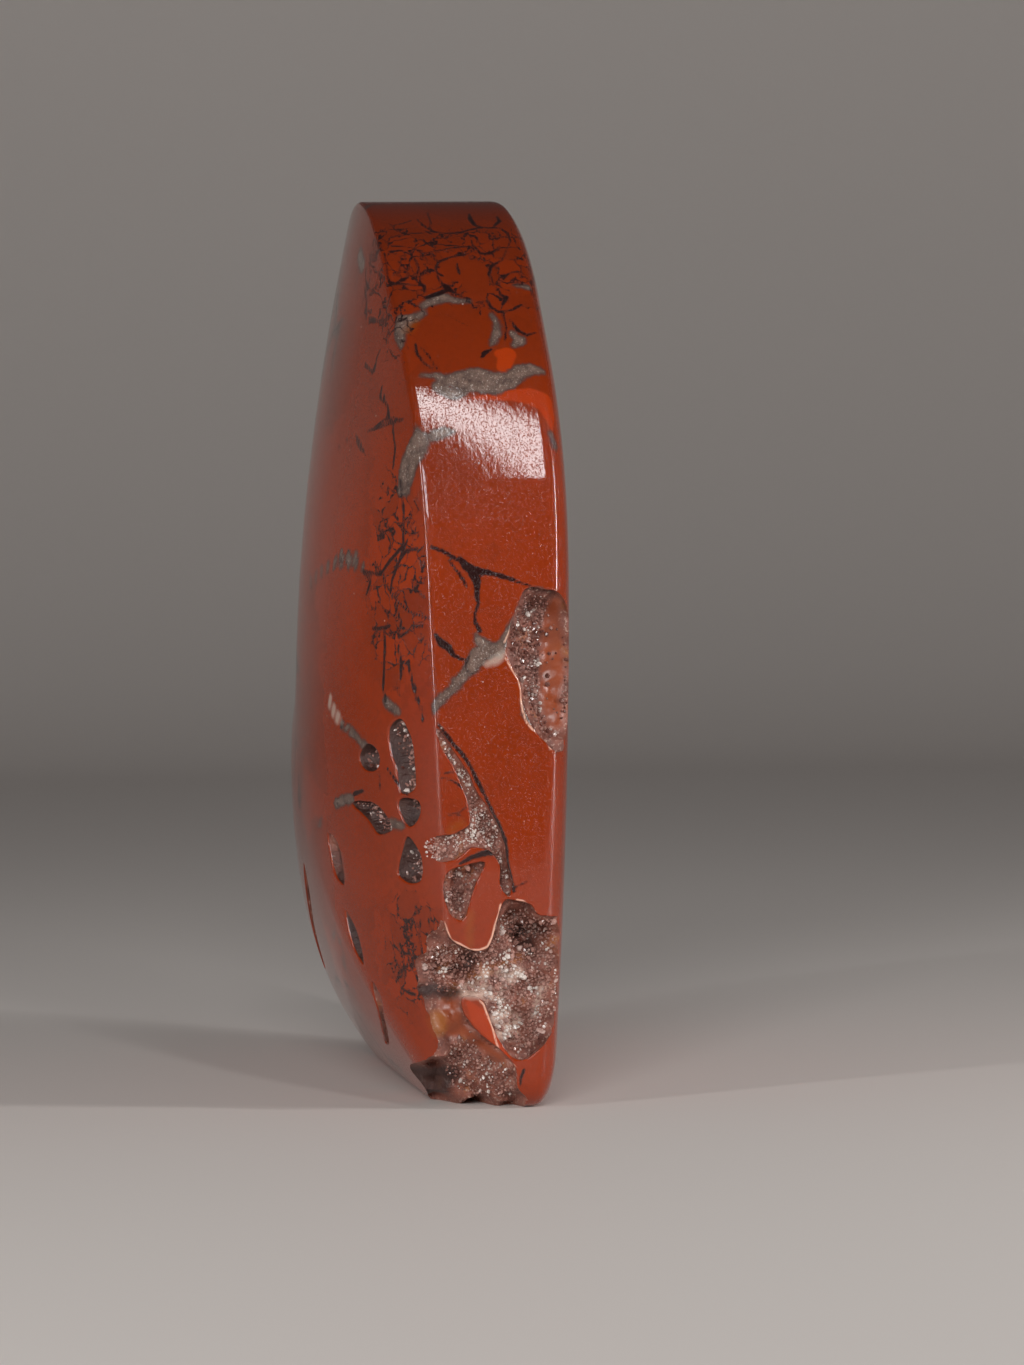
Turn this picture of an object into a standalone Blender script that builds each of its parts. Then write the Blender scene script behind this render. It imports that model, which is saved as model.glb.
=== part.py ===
"""Red brecciated jasper heart: a polished palm stone with druzy hollows, standing on one straight side.

The stone is worked out in millimetres, in the coordinates that suit it, and placed at the end:
  lat, w  across and along the heart, w from the tip along its axis to the cleft
  u, v    back from the near straight side, and height above the table
  y       thickness, from the domed front face (minus) to the back face (plus)
The near straight side, with the hollows, faces +X. The domed front face faces -Y.
"""

import math
import random

import bmesh
import bpy
from mathutils import Vector
from mathutils.geometry import delaunay_2d_cdt, intersect_point_line, intersect_point_tri_2d

MM = 0.001

# Outline of the heart: its corners as (lat, w, radius), anticlockwise from the tip
NEAR_SIDE = (-39.2, 37.6, 26.0)
CORNERS = (
    (0.0, 0.0, 2.5),
    (36.5, 36.5, 26.0),
    (38.0, 69.2, 17.5),
    (20.6, 75.2, 14.0),
    (0.4, 58.6, 3.0),
    (-21.2, 75.4, 14.0),
    (-42.1, 69.0, 17.5),
    NEAR_SIDE,
)
MIDDLE_W = 34.0  # height on the axis of the point that both faces rise to
ARC_STEP = math.radians(11.0)
STRAIGHT_STEP = 2.7
KINK_WINDOW = math.radians(60.0)  # inner rings are smoothed over this turn to each side
KINK_STEPS = 12
KINK_POWER = 1.5  # how late the rings take up the kinks
SHARE_TOLERANCE = 1e-6

# The flat rim band, between the front and the back crease
FRONT_CREASE_AT_BASE = 4.07
FRONT_CREASE_GROWTH = 0.00051  # for each square millimetre of height
FRONT_CREASE_DRAW = 0.00028  # for each square millimetre back: the far lobe is thinner
BACK_CREASE_AT_BASE = 3.3
BACK_CREASE_GROWTH = 0.072
BACK_CREASE_FALL = 0.0007
FRONT_BEVEL = 0.3
BACK_BEVEL = 0.6
BAND_ROWS = 3

# The two faces
FRONT_RISE = 8.0
FRONT_POWER = 2.3
BACK_RISE = 1.9
BACK_POWER = 2.3
SHOULDER_RISE = 1.2  # the quick rounded shoulder inside the back crease
SHOULDER_WIDTH = 1.1
FRONT_SHARES = (0.12, 0.28, 0.44, 0.60, 0.74, 0.86, 0.94)
BACK_SHARES = (0.84, 0.70, 0.54, 0.37, 0.18)
SHOULDER_INSETS = (0.22, 0.7, 1.5, 3.0)

# How the hollows and their crystal crusts are made
CLEAR_OUTSIDE = 4.0  # a cutter reaches this far out of the stone
FLOOR_LUMP = 0.2
CRUST_GAP = 0.4
CRUST_THICKNESS = 0.25
CRYSTAL_SPACING = 0.85
CRYSTAL_HEIGHT = (0.25, 0.65)

# Hollows in the near rim band. Each point is (y, v, depth into the stone).
SIDE_HOLLOW_RIM = (
    (2.8, 41.5, 0.6), (4.2, 41.4, 0.8), (5.6, 41.0, 1.4), (6.6, 39.0, 2.4), (6.9, 35.0, 3.0),
    (6.8, 31.0, 2.4), (6.0, 28.6, 1.2), (5.0, 28.5, 0.6), (4.2, 29.2, 0.5), (3.1, 30.6, 0.6),
    (2.4, 32.3, 0.7), (2.2, 33.8, 0.7), (1.6, 35.2, 0.6), (1.1, 36.6, 0.5), (1.5, 38.6, 0.7),
    (2.1, 40.2, 0.7),
)
SIDE_HOLLOW_FLOOR = (
    (3.3, 39.8, 2.4), (4.6, 39.2, 2.7), (2.5, 38.0, 2.2), (3.9, 37.2, 3.2), (5.3, 36.6, 3.0),
    (2.9, 35.6, 2.2), (4.2, 34.6, 3.0), (5.4, 33.4, 2.8), (3.4, 33.0, 2.2), (4.4, 31.4, 2.1),
    (5.4, 30.4, 1.8),
)
SIDE_CRUST = (
    (2.9, 40.9), (4.2, 40.6), (5.3, 39.6), (5.7, 37.6), (5.9, 35.0), (5.8, 32.4), (5.3, 30.2),
    (4.4, 30.2), (3.5, 31.4), (2.9, 32.8), (2.7, 34.2), (2.1, 35.6), (1.7, 36.8), (2.0, 38.4),
    (2.5, 39.8),
)
SEAM_HOLLOW_RIM = (
    (-4.6, 30.6, 0.2), (-3.9, 29.8, 0.3), (-3.0, 28.3, 0.4), (-2.0, 26.8, 0.4), (-1.5, 25.5, 0.4),
    (-0.8, 24.5, 0.4), (0.2, 22.8, 0.5), (0.7, 21.3, 0.5), (0.9, 19.8, 0.5), (1.3, 17.9, 0.6),
    (1.0, 17.1, 0.6), (0.4, 17.8, 0.6), (0.2, 19.8, 0.6), (-0.8, 20.9, 0.5), (-2.0, 21.0, 0.5),
    (-3.3, 20.1, 0.4), (-5.6, 20.3, 0.4), (-5.6, 21.7, 0.4), (-3.3, 22.2, 0.5), (-2.1, 22.9, 0.4),
    (-2.1, 24.2, 0.4), (-2.7, 26.1, 0.4), (-3.4, 27.7, 0.3), (-4.3, 29.2, 0.2),
)
SEAM_HOLLOW_FLOOR = (
    (-3.5, 28.4, 0.9), (-2.4, 26.4, 1.1), (-1.6, 24.4, 1.4), (-0.8, 22.9, 1.9), (-0.1, 21.6, 2.2),
    (-1.6, 22.0, 1.7), (-2.8, 21.2, 1.5), (-4.2, 21.0, 1.2), (0.5, 20.0, 1.7), (0.8, 18.4, 1.4),
)
CORNER_PIT_RIM = (
    (-4.0, 19.0, 0.3), (-2.6, 19.6, 0.5), (-0.9, 19.8, 0.5), (-1.5, 18.5, 0.4), (-2.1, 16.9, 0.4),
    (-2.8, 15.3, 0.3), (-3.6, 15.7, 0.4), (-4.2, 17.2, 0.4),
)
CORNER_PIT_FLOOR = (
    (-2.9, 18.7, 1.9), (-2.0, 18.9, 1.6), (-3.1, 17.4, 1.7), (-3.1, 16.4, 1.3),
)
CORNER_CRUST = (
    (-3.5, 18.6), (-2.7, 19.0), (-1.8, 19.1), (-2.1, 18.2), (-2.6, 16.9), (-3.0, 16.2),
    (-3.4, 16.4), (-3.7, 17.4),
)

# The broken tip. Its rim runs under the two polished tongues of the band, down the back crease,
# round the foot, the narrow polished island and the base, and back up outside the front face.
TIP_BREAK_RIM = (
    (-4.5, 15.4, 0.3), (-3.7, 13.8, 0.9), (-2.8, 13.2, 1.1), (-1.7, 12.8, 1.2), (-0.7, 13.1, 1.1),
    (-0.2, 14.4, 1.0), (0.3, 16.1, 0.8), (0.7, 16.8, 0.6), (1.6, 16.7, 0.8), (2.8, 16.3, 1.0),
    (3.3, 15.6, 1.3), (4.1, 15.4, 0.9), (5.2, 15.2, 0.8), (5.3, 12.8, 1.0), (5.2, 10.0, 1.0),
    (5.0, 7.4, 0.8), (4.3, 5.9, 0.6), (2.9, 4.5, 0.7), (1.9, 4.0, 0.6), (1.0, 4.3, 0.5),
    (0.1, 5.5, 0.6), (-0.4, 6.6, 0.6), (-0.9, 8.1, 0.5), (-1.4, 9.0, 0.5), (-2.9, 9.1, 0.4),
    (-2.8, 8.0, 0.3), (-1.6, 6.3, 0.3), (0.4, 4.6, 0.3), (1.3, 3.4, 0.3), (1.5, 1.8, 0.5),
    (2.4, 0.7, 0.8), (3.2, -1.5, 1.6), (-9.0, -1.5, 12.0), (-9.0, 3.4, 9.0), (-9.0, 4.6, 2.0),
    (-9.0, 15.4, 0.2),
)
TIP_BREAK_FLOOR = (
    (-5.4, 13.2, 1.7), (-5.8, 11.6, 2.9), (-5.9, 10.0, 2.9), (-5.6, 8.6, 2.3), (-5.2, 7.1, 1.7),
    (-5.0, 5.6, 1.0), (-5.6, 4.8, 1.8), (-4.4, 4.6, 1.2), (-3.6, 12.4, 2.2), (-2.2, 11.9, 2.4),
    (-4.4, 11.2, 4.6), (-3.0, 11.0, 5.2), (-1.9, 10.6, 3.6), (-3.9, 9.9, 2.2), (-4.1, 8.6, 1.3),
    (-3.7, 7.4, 0.8), (-0.6, 11.2, 2.0), (0.4, 12.8, 1.8), (1.0, 14.6, 2.3), (1.9, 15.3, 3.2),
    (2.7, 14.0, 5.2), (3.7, 14.0, 4.9), (4.5, 12.4, 2.4), (2.6, 12.0, 2.7), (0.9, 10.6, 2.3),
    (3.8, 10.0, 2.6), (2.2, 9.4, 2.4), (0.6, 8.2, 2.0), (3.6, 7.8, 2.2), (1.8, 6.9, 2.6),
    (1.3, 5.4, 1.8), (2.8, 5.7, 1.8), (-3.2, 5.8, 1.4), (-1.9, 4.6, 1.9), (-0.3, 3.3, 1.9),
    (0.7, 1.9, 2.0), (-3.3, 3.8, 2.6), (-1.8, 2.6, 2.9), (-0.3, 1.4, 3.2), (1.2, 0.7, 2.7),
    (-3.4, 1.4, 5.0), (-1.6, 0.8, 4.2), (-4.5, 3.4, 5.6), (-4.4, 1.6, 7.4), (-6.0, 2.2, 9.0),
    (1.4, 0.1, 4.4), (-1.2, 0.1, 8.0), (-3.8, 0.3, 9.6),
)
TIP_CRUST = (
    (1.2, 15.9), (2.4, 15.7), (3.2, 14.9), (4.4, 14.6), (4.8, 13.0), (4.75, 10.0), (4.5, 7.8),
    (3.9, 6.5), (2.8, 5.3), (1.8, 4.7), (1.3, 5.0), (0.6, 6.0), (0.1, 7.0), (-0.4, 8.5),
    (-1.1, 9.5), (-3.0, 9.6), (-4.2, 9.7), (-5.0, 10.3), (-5.1, 11.6), (-4.7, 12.7), (-3.9, 13.0),
    (-2.8, 12.6), (-1.7, 12.2), (-0.4, 12.5), (0.3, 13.9), (0.7, 15.3),
)
BASE_CRUST = (
    (-2.5, 6.3), (-1.5, 5.5), (0.1, 4.2), (0.8, 3.1), (1.0, 2.0), (0.9, 1.2), (-0.8, 1.1),
    (-2.2, 1.4), (-3.1, 2.2), (-3.5, 3.6), (-3.3, 5.0),
)

# Small natural pits and grooves in the front face. Each point is (u, v), with one depth for the pit.
FACE_PITS = {
    "round_pit": (((7.7, 28.2), (6.5, 29.2), (5.2, 28.6), (5.2, 27.5), (6.4, 27.0), (7.4, 27.4)), 1.5),
    "long_pit": (((3.7, 30.6), (2.6, 31.3), (1.8, 30.2), (1.5, 27.6), (1.7, 25.7), (2.9, 25.3),
                  (3.3, 27.2), (3.8, 28.9)), 1.3),
    "low_pit": (((3.3, 24.7), (2.4, 25.0), (1.3, 24.6), (1.5, 23.3), (2.4, 22.7), (3.1, 23.6)), 1.6),
    "druse_pit": (((2.6, 21.9), (1.5, 20.4), (1.6, 18.5), (2.9, 18.2), (3.8, 18.7), (3.4, 20.4)), 1.4),
    "elbow_pit": (((9.2, 24.3), (6.6, 24.5), (5.0, 23.8), (4.2, 22.5), (5.8, 22.0), (7.2, 23.2)), 1.0),
    "mid_dent": (((14.4, 21.6), (12.2, 20.6), (11.9, 17.6), (13.4, 18.2)), 0.7),
    "brown_dent": (((12.2, 15.4), (10.4, 13.6), (10.0, 11.2), (11.6, 12.6)), 0.7),
    "far_dent": (((27.2, 18.4), (30.4, 15.2), (34.8, 10.4), (36.6, 8.8), (34.2, 9.0), (29.2, 13.2),
                  (26.4, 16.6)), 0.8),
    "low_groove": (((8.9, 9.8), (9.6, 7.8), (12.6, 5.4), (14.8, 4.2), (12.2, 4.6), (8.6, 6.8),
                    (7.9, 8.6)), 0.9),
}
PIT_FLOOR_SHARE = 0.45


def to_pose(lat, w):
    """(u, v) of a place that is given across and along the heart."""
    return (w + lat) / math.sqrt(2.0), (w - lat) / math.sqrt(2.0)


def from_pose(u, v):
    """(lat, w) of a place that is given back from the near side and above the table."""
    return (u - v) / math.sqrt(2.0), (u + v) / math.sqrt(2.0)


def rounded_outline(corners):
    """The closed outline through the corners, each rounded by its radius, with the straight runs divided."""
    points = []
    for index, (*corner, radius) in enumerate(corners):
        here = Vector(corner)
        to_last = (Vector(corners[index - 1][:2]) - here).normalized()
        to_next = (Vector(corners[(index + 1) % len(corners)][:2]) - here).normalized()
        half = math.acos(to_last.dot(to_next)) / 2.0
        centre = here + (to_last + to_next).normalized() * radius / math.sin(half)
        start = here + to_last * radius / math.tan(half) - centre
        end = here + to_next * radius / math.tan(half) - centre
        turn = math.atan2(start.x * end.y - start.y * end.x, start.dot(end))
        steps = max(4, round(abs(turn) / ARC_STEP))
        for step in range(steps + 1):
            angle = turn * step / steps
            points.append(centre + Vector((
                start.x * math.cos(angle) - start.y * math.sin(angle),
                start.x * math.sin(angle) + start.y * math.cos(angle),
            )))
    divided = []
    for here, ahead in zip(points, points[1:] + points[:1]):
        pieces = max(1, round((ahead - here).length / STRAIGHT_STEP))
        divided += [here.lerp(ahead, piece / pieces) for piece in range(pieces)]
    return divided


OUTLINE = rounded_outline(CORNERS)
MIDDLE = Vector((0.0, MIDDLE_W))


def front_crease(u, v):
    """How far the front crease lies in front of the middle line of the rim."""
    return FRONT_CREASE_AT_BASE + FRONT_CREASE_GROWTH * v * v - FRONT_CREASE_DRAW * u * u


def back_crease(v):
    """How far the back crease lies behind that line."""
    return BACK_CREASE_AT_BASE + BACK_CREASE_GROWTH * v - BACK_CREASE_FALL * v * v


def front_y(share, u, v):
    """The front face at a share of the way from its middle to the outline."""
    return -(front_crease(u, v) + FRONT_RISE * (1.0 - share ** FRONT_POWER))


def back_y(share, inset, v):
    """The back face, with inset the distance in from the outline."""
    shoulder = SHOULDER_RISE * (1.0 - math.exp(-inset / SHOULDER_WIDTH))
    return back_crease(v) + BACK_RISE * (1.0 - share ** BACK_POWER) + shoulder


def reach_at(angle):
    """Distance from the middle to the outline, in the direction of an angle."""
    ray = Vector((math.cos(angle), math.sin(angle)))
    for here, ahead in zip(OUTLINE, OUTLINE[1:] + OUTLINE[:1]):
        edge = ahead - here
        across = ray.x * edge.y - ray.y * edge.x
        if abs(across) < 1e-9:
            continue
        offset = here - MIDDLE
        distance = (offset.x * edge.y - offset.y * edge.x) / across
        along = (offset.x * ray.y - offset.y * ray.x) / across
        if distance > 0.0 and -1e-6 <= along <= 1.0 + 1e-6:
            return distance
    raise ValueError("the outline isn't seen from its middle")


def smooth_reach_at(angle):
    """The reach without the kinks of the tip and the cleft: a mean over the window, weighted to its middle."""
    total = 0.0
    weights = 0.0
    for step in range(-KINK_STEPS, KINK_STEPS + 1):
        weight = 0.5 + 0.5 * math.cos(math.pi * step / (KINK_STEPS + 1))
        total += weight * reach_at(angle + KINK_WINDOW * step / KINK_STEPS)
        weights += weight
    return total / weights


def along_ray(share, reach, smooth_reach):
    """Distance from the middle of the ring at a share: smooth near the middle, the outline itself at the rim."""
    kinked = share ** KINK_POWER
    return share * (smooth_reach * (1.0 - kinked) + reach * kinked)


def share_of(distance, reach, smooth_reach):
    """The share of the ring that passes at a distance from the middle, found by halving."""
    low = 0.0
    high = 1.0
    while high - low > SHARE_TOLERANCE:
        middle = (low + high) / 2.0
        if along_ray(middle, reach, smooth_reach) < distance:
            low = middle
        else:
            high = middle
    return high


def front_surface(u, v):
    """y of the front face at a place back from the near side and above the table."""
    offset = Vector(from_pose(u, v)) - MIDDLE
    angle = math.atan2(offset.y, offset.x)
    reach = reach_at(angle)
    share = 1.0
    if offset.length < reach:
        share = share_of(offset.length, reach, smooth_reach_at(angle))
    return front_y(share, u, v)


def heart_rows(point):
    """The rows of the stone along one ray: (u, y, v), from the front middle to the back middle."""
    offset = point - MIDDLE
    reach = offset.length
    smooth_reach = smooth_reach_at(math.atan2(offset.y, offset.x))

    def at(share):
        return to_pose(*(MIDDLE + offset.normalized() * along_ray(share, reach, smooth_reach)))

    edge = share_of(reach - FRONT_BEVEL, reach, smooth_reach)
    rows = []
    for share in (*FRONT_SHARES, edge):
        u, v = at(share)
        rows.append((u, front_y(share, u, v), v))
    u, v = at(1.0)
    band_front = -(front_crease(u, v) - FRONT_BEVEL)
    band_back = back_crease(v) - BACK_BEVEL
    for row in range(BAND_ROWS + 1):
        rows.append((u, band_front + (band_back - band_front) * row / BAND_ROWS, v))
    shoulder = [share_of(reach - inset, reach, smooth_reach) for inset in SHOULDER_INSETS]
    for share in (*shoulder, *BACK_SHARES):
        u, v = at(share)
        rows.append((u, back_y(share, reach - along_ray(share, reach, smooth_reach), v), v))
    return rows


def middle_of(numbers):
    return (min(numbers) + max(numbers)) / 2.0


NEAR_LEAN = to_pose(*NEAR_SIDE[:2])[0] / to_pose(*NEAR_SIDE[:2])[1]  # outwards, for each mm of height
MIDDLE_DEPTH, MIDDLE_V = to_pose(*MIDDLE)
MIDDLE_U = middle_of([to_pose(*point)[0] for point in OUTLINE])
MIDDLE_Y = middle_of(
    [front_y(0.0, MIDDLE_DEPTH, MIDDLE_V), back_y(0.0, MIDDLE_W, MIDDLE_V)]
    + [y for point in OUTLINE for u, y, v in heart_rows(point)]
)


def place(u, y, v):
    """A place in the model, in metres: the origin is under the middle, on the table."""
    return Vector((MIDDLE_U - u, y - MIDDLE_Y, v)) * MM


def on_band(y, v, depth):
    """A place in the near rim band, at a depth into the stone."""
    return place(NEAR_LEAN * v + depth, y, v)


def on_front(u, v, depth):
    """A place in the front face, at a depth into the stone."""
    return place(u, front_surface(u, v) + depth, v)


def make_object(name, bm, material=None):
    """A mesh object of this name, with its faces pointing out."""
    bmesh.ops.recalc_face_normals(bm, faces=bm.faces)
    if bm.calc_volume(signed=True) < 0.0:
        bmesh.ops.reverse_faces(bm, faces=bm.faces)
    mesh = bpy.data.meshes.new(name)
    bm.to_mesh(mesh)
    bm.free()
    obj = bpy.data.objects.new(name, mesh)
    bpy.context.scene.collection.objects.link(obj)
    if material:
        mesh.materials.append(material)
    return obj


def make_material(name, colour, roughness):
    material = bpy.data.materials.new(name)
    material.use_nodes = True
    shader = material.node_tree.nodes["Principled BSDF"]
    shader.inputs["Base Color"].default_value = (*colour, 1.0)
    shader.inputs["Roughness"].default_value = roughness
    shader.inputs["Metallic"].default_value = 0.0
    return material


def heart_blank():
    """The whole stone before its hollows: rings of the outline from the front middle to the back middle."""
    bm = bmesh.new()
    columns = [[bm.verts.new(place(*row)) for row in heart_rows(point)] for point in OUTLINE]
    middle_y = (front_y(0.0, MIDDLE_DEPTH, MIDDLE_V), back_y(0.0, MIDDLE_W, MIDDLE_V))
    front_middle, back_middle = (bm.verts.new(place(MIDDLE_DEPTH, y, MIDDLE_V)) for y in middle_y)
    for here, ahead in zip(columns, columns[1:] + columns[:1]):
        bm.faces.new((front_middle, here[0], ahead[0]))
        bm.faces.new((back_middle, ahead[-1], here[-1]))
        for row in range(len(here) - 1):
            bm.faces.new((here[row], here[row + 1], ahead[row + 1], ahead[row]))
    return bm


def inside(loop, a, b):
    """Whether (a, b) lies inside a closed loop."""
    found = False
    for (a0, b0), (a1, b1) in zip(loop, loop[1:] + loop[:1]):
        if (b0 > b) != (b1 > b) and a < (a1 - a0) * (b - b0) / (b1 - b0) + a0:
            found = not found
    return found


def triangles_within(loop, inner):
    """Triangles over a loop and the points inside it: the flat points, and three indices for each triangle."""
    flat = [Vector(point) for point in (*loop, *inner)]
    edges = [(index, (index + 1) % len(loop)) for index in range(len(loop))]
    points, _, faces, _, _, _ = delaunay_2d_cdt(flat, edges, [], 0, 1e-5)
    kept = []
    for face in faces:
        middle = sum((points[index] for index in face), Vector((0.0, 0.0))) / 3.0
        if inside(loop, middle.x, middle.y):
            kept.append(tuple(face))
    return points, kept


class Floor:
    """The floor of a hollow: flat triangles with a depth at each corner."""

    def __init__(self, name, rim, floor, lump):
        loop = [point[:2] for point in rim]
        depths = [point[2] for point in rim + floor]
        points, triangles = triangles_within(loop, [point[:2] for point in floor])
        if len(points) != len(depths):
            raise ValueError(name + ": two of its points fall together or its rim crosses itself")
        self.points = [tuple(point) for point in points]
        self.depths = depths
        self.triangles = []
        self.rim = []
        self.divide(triangles, len(rim), lump, random.Random(name))

    def divide(self, triangles, rim_count, lump, rng):
        """Each triangle is cut in four at the middles of its sides, and the new corners are uneven."""
        middles = {}

        def middle(i, j):
            key = (min(i, j), max(i, j))
            if key not in middles:
                on_rim = j < rim_count and i < rim_count and (j - i) % rim_count in (1, rim_count - 1)
                a, b = ((self.points[i][k] + self.points[j][k]) / 2.0 for k in (0, 1))
                uneven = 0.0 if on_rim else rng.uniform(-lump, lump)
                self.points.append((a, b))
                self.depths.append((self.depths[i] + self.depths[j]) / 2.0 + uneven)
                middles[key] = len(self.points) - 1
            return middles[key]

        for i, j, k in triangles:
            ij, jk, ki = middle(i, j), middle(j, k), middle(k, i)
            self.triangles += [(i, ij, ki), (ij, j, jk), (ki, jk, k), (ij, jk, ki)]
        for i in range(rim_count):
            self.rim += [i, middle(i, (i + 1) % rim_count)]

    def depth(self, a, b):
        """Depth of the floor at (a, b)."""
        for corners in self.triangles:
            flat = [Vector(self.points[corner]) for corner in corners]
            if intersect_point_tri_2d(Vector((a, b)), *flat):
                whole = (flat[1] - flat[0]).cross(flat[2] - flat[0])
                second = (Vector((a, b)) - flat[0]).cross(flat[2] - flat[0]) / whole
                third = (flat[1] - flat[0]).cross(Vector((a, b)) - flat[0]) / whole
                first = 1.0 - second - third
                d0, d1, d2 = (self.depths[corner] for corner in corners)
                return first * d0 + second * d1 + third * d2
        raise ValueError("a crust reaches past the floor of its hollow")


def closed_sheet(bm, triangles, rim, outer, inner):
    """Closes a sheet of triangles given by its outer and inner corners, with a wall round the rim."""
    tops = [bm.verts.new(point) for point in outer]
    floors = [bm.verts.new(point) for point in inner]
    top_faces = [bm.faces.new([tops[index] for index in corners]) for corners in triangles]
    for corners in triangles:
        bm.faces.new([floors[index] for index in reversed(corners)])
    for here, ahead in zip(rim, rim[1:] + rim[:1]):
        bm.faces.new((tops[here], floors[here], floors[ahead], tops[ahead]))
    return top_faces


def cut(stone, name, floor, surface):
    """Cuts one hollow into the stone, from outside it down to the floor."""
    bm = bmesh.new()
    outer = [surface(*point, -CLEAR_OUTSIDE) for point in floor.points]
    inner = [surface(*point, depth) for point, depth in zip(floor.points, floor.depths)]
    closed_sheet(bm, floor.triangles, floor.rim, outer, inner)
    cutter = make_object(name + "_cutter", bm)
    cutter.hide_render = True
    cutter.display_type = "WIRE"
    boolean = stone.modifiers.new(name, "BOOLEAN")
    boolean.operation = "DIFFERENCE"
    boolean.solver = "EXACT"
    boolean.object = cutter


def well_inside(loop, a, b, clear):
    """Whether (a, b) lies inside a closed loop and clear of its line."""
    point = Vector((a, b))
    for here, ahead in zip(loop, loop[1:] + loop[:1]):
        along = min(max(intersect_point_line(point, Vector(here), Vector(ahead))[1], 0.0), 1.0)
        if (point - Vector(here).lerp(Vector(ahead), along)).length < clear:
            return False
    return inside(loop, a, b)


def crust(name, floor, loop, surface, material):
    """The crystals that line a hollow: one thin shell a little above its floor, with a pyramid on each facet."""
    rng = random.Random(name)
    lows = [min(point[k] for point in loop) for k in (0, 1)]
    highs = [max(point[k] for point in loop) for k in (0, 1)]
    inner = []
    for row in range(int((highs[1] - lows[1]) / CRYSTAL_SPACING) + 1):
        for step in range(int((highs[0] - lows[0]) / CRYSTAL_SPACING) + 1):
            a = lows[0] + (step + 0.5 * (row % 2) + rng.uniform(-0.2, 0.2)) * CRYSTAL_SPACING
            b = lows[1] + (row + rng.uniform(-0.2, 0.2)) * CRYSTAL_SPACING
            if well_inside(loop, a, b, CRYSTAL_SPACING * 0.5):
                inner.append((a, b))
    points, triangles = triangles_within(loop, inner)
    depths = [floor.depth(*point) for point in points]
    bm = bmesh.new()
    lower = [surface(*point, depth - CRUST_GAP) for point, depth in zip(points, depths)]
    upper = [surface(*point, depth - CRUST_GAP - CRUST_THICKNESS) for point, depth in zip(points, depths)]
    tops = closed_sheet(bm, triangles, list(range(len(loop))), upper, lower)
    outward = (surface(*points[0], -1.0) - surface(*points[0], 0.0)).normalized()
    for vert in bmesh.ops.poke(bm, faces=tops)["verts"]:
        vert.co += outward * rng.uniform(*CRYSTAL_HEIGHT) * MM
    return make_object(name, bm, material)


def pit_floor(name, outline, depth):
    """The floor of a small pit: its outline at a share of the depth, and a deeper ring inside it."""
    middle = sum((Vector(point) for point in outline), Vector((0.0, 0.0))) / len(outline)
    rim = tuple((*point, depth * 0.35) for point in outline)
    ring = tuple((*middle.lerp(Vector(point), PIT_FLOOR_SHARE), depth) for point in outline)
    return Floor(name, rim, ring, 0.0)


for old in list(bpy.data.objects):
    bpy.data.objects.remove(old)

jasper = make_material("polished red jasper", (0.36, 0.055, 0.014), 0.16)
druse = make_material("quartz druse", (0.44, 0.30, 0.27), 0.34)

heart = make_object("heart", heart_blank(), jasper)
hollows = {
    "side_hollow": (SIDE_HOLLOW_RIM, SIDE_HOLLOW_FLOOR, {"side_druse": SIDE_CRUST}),
    "seam_hollow": (SEAM_HOLLOW_RIM, SEAM_HOLLOW_FLOOR, {}),
    "corner_hollow": (CORNER_PIT_RIM, CORNER_PIT_FLOOR, {"corner_druse": CORNER_CRUST}),
    "tip_hollow": (TIP_BREAK_RIM, TIP_BREAK_FLOOR, {"tip_druse": TIP_CRUST, "base_druse": BASE_CRUST}),
}
for hollow_name, (rim_points, floor_points, crusts) in hollows.items():
    hollow = Floor(hollow_name, rim_points, floor_points, FLOOR_LUMP)
    cut(heart, hollow_name, hollow, on_band)
    for crust_name, crust_loop in crusts.items():
        crust(crust_name, hollow, crust_loop, on_band, druse)
for pit, (pit_outline, pit_depth) in FACE_PITS.items():
    cut(heart, pit, pit_floor(pit, pit_outline, pit_depth), on_front)
heart.data.shade_smooth()
heart.data.set_sharp_from_angle(angle=math.radians(30.0))
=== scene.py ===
"""Red brecciated jasper heart: the looks of the polished palm stone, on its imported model.

Lengths are millimetres until a mesh is placed, in the stone's own coordinates:
  lat, w  across and along the heart, w from the tip along its axis to the cleft
  u, v    back from the near straight side, and height above the table
  y       thickness, from the domed front face (minus) to the back face (plus)
The near straight side, with the hollows, faces +X. The domed front face faces -Y.
"""

import logging
import math
from dataclasses import dataclass, field
from enum import Enum

import bmesh
import bpy
import numpy as np
from mathutils import Matrix, Vector, noise


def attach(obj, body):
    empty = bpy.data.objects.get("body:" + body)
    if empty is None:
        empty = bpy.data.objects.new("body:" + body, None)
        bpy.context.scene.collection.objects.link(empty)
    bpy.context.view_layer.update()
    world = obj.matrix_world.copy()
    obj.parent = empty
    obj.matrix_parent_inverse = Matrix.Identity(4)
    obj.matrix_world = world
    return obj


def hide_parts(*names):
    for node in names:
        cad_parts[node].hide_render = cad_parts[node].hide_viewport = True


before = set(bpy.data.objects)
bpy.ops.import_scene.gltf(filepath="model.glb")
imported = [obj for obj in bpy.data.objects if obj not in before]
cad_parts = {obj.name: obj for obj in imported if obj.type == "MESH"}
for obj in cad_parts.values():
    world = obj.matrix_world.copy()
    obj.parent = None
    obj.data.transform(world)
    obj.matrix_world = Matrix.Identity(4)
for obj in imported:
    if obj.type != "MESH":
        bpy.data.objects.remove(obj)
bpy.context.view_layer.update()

log = logging.getLogger("jasper_heart")

MM = 0.001
Points = tuple[tuple[float, ...], ...]
NodeOutput = bpy.types.Node | bpy.types.NodeSocket


class Surface(Enum):
    """Which face of the stone a point is given on, and in which two coordinates."""

    BAND = "near rim band, as (y, v)"
    FACE = "front face, as (u, v)"
    GROUND = "broken ground of the near side at any depth, as (y, v)"


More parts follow.
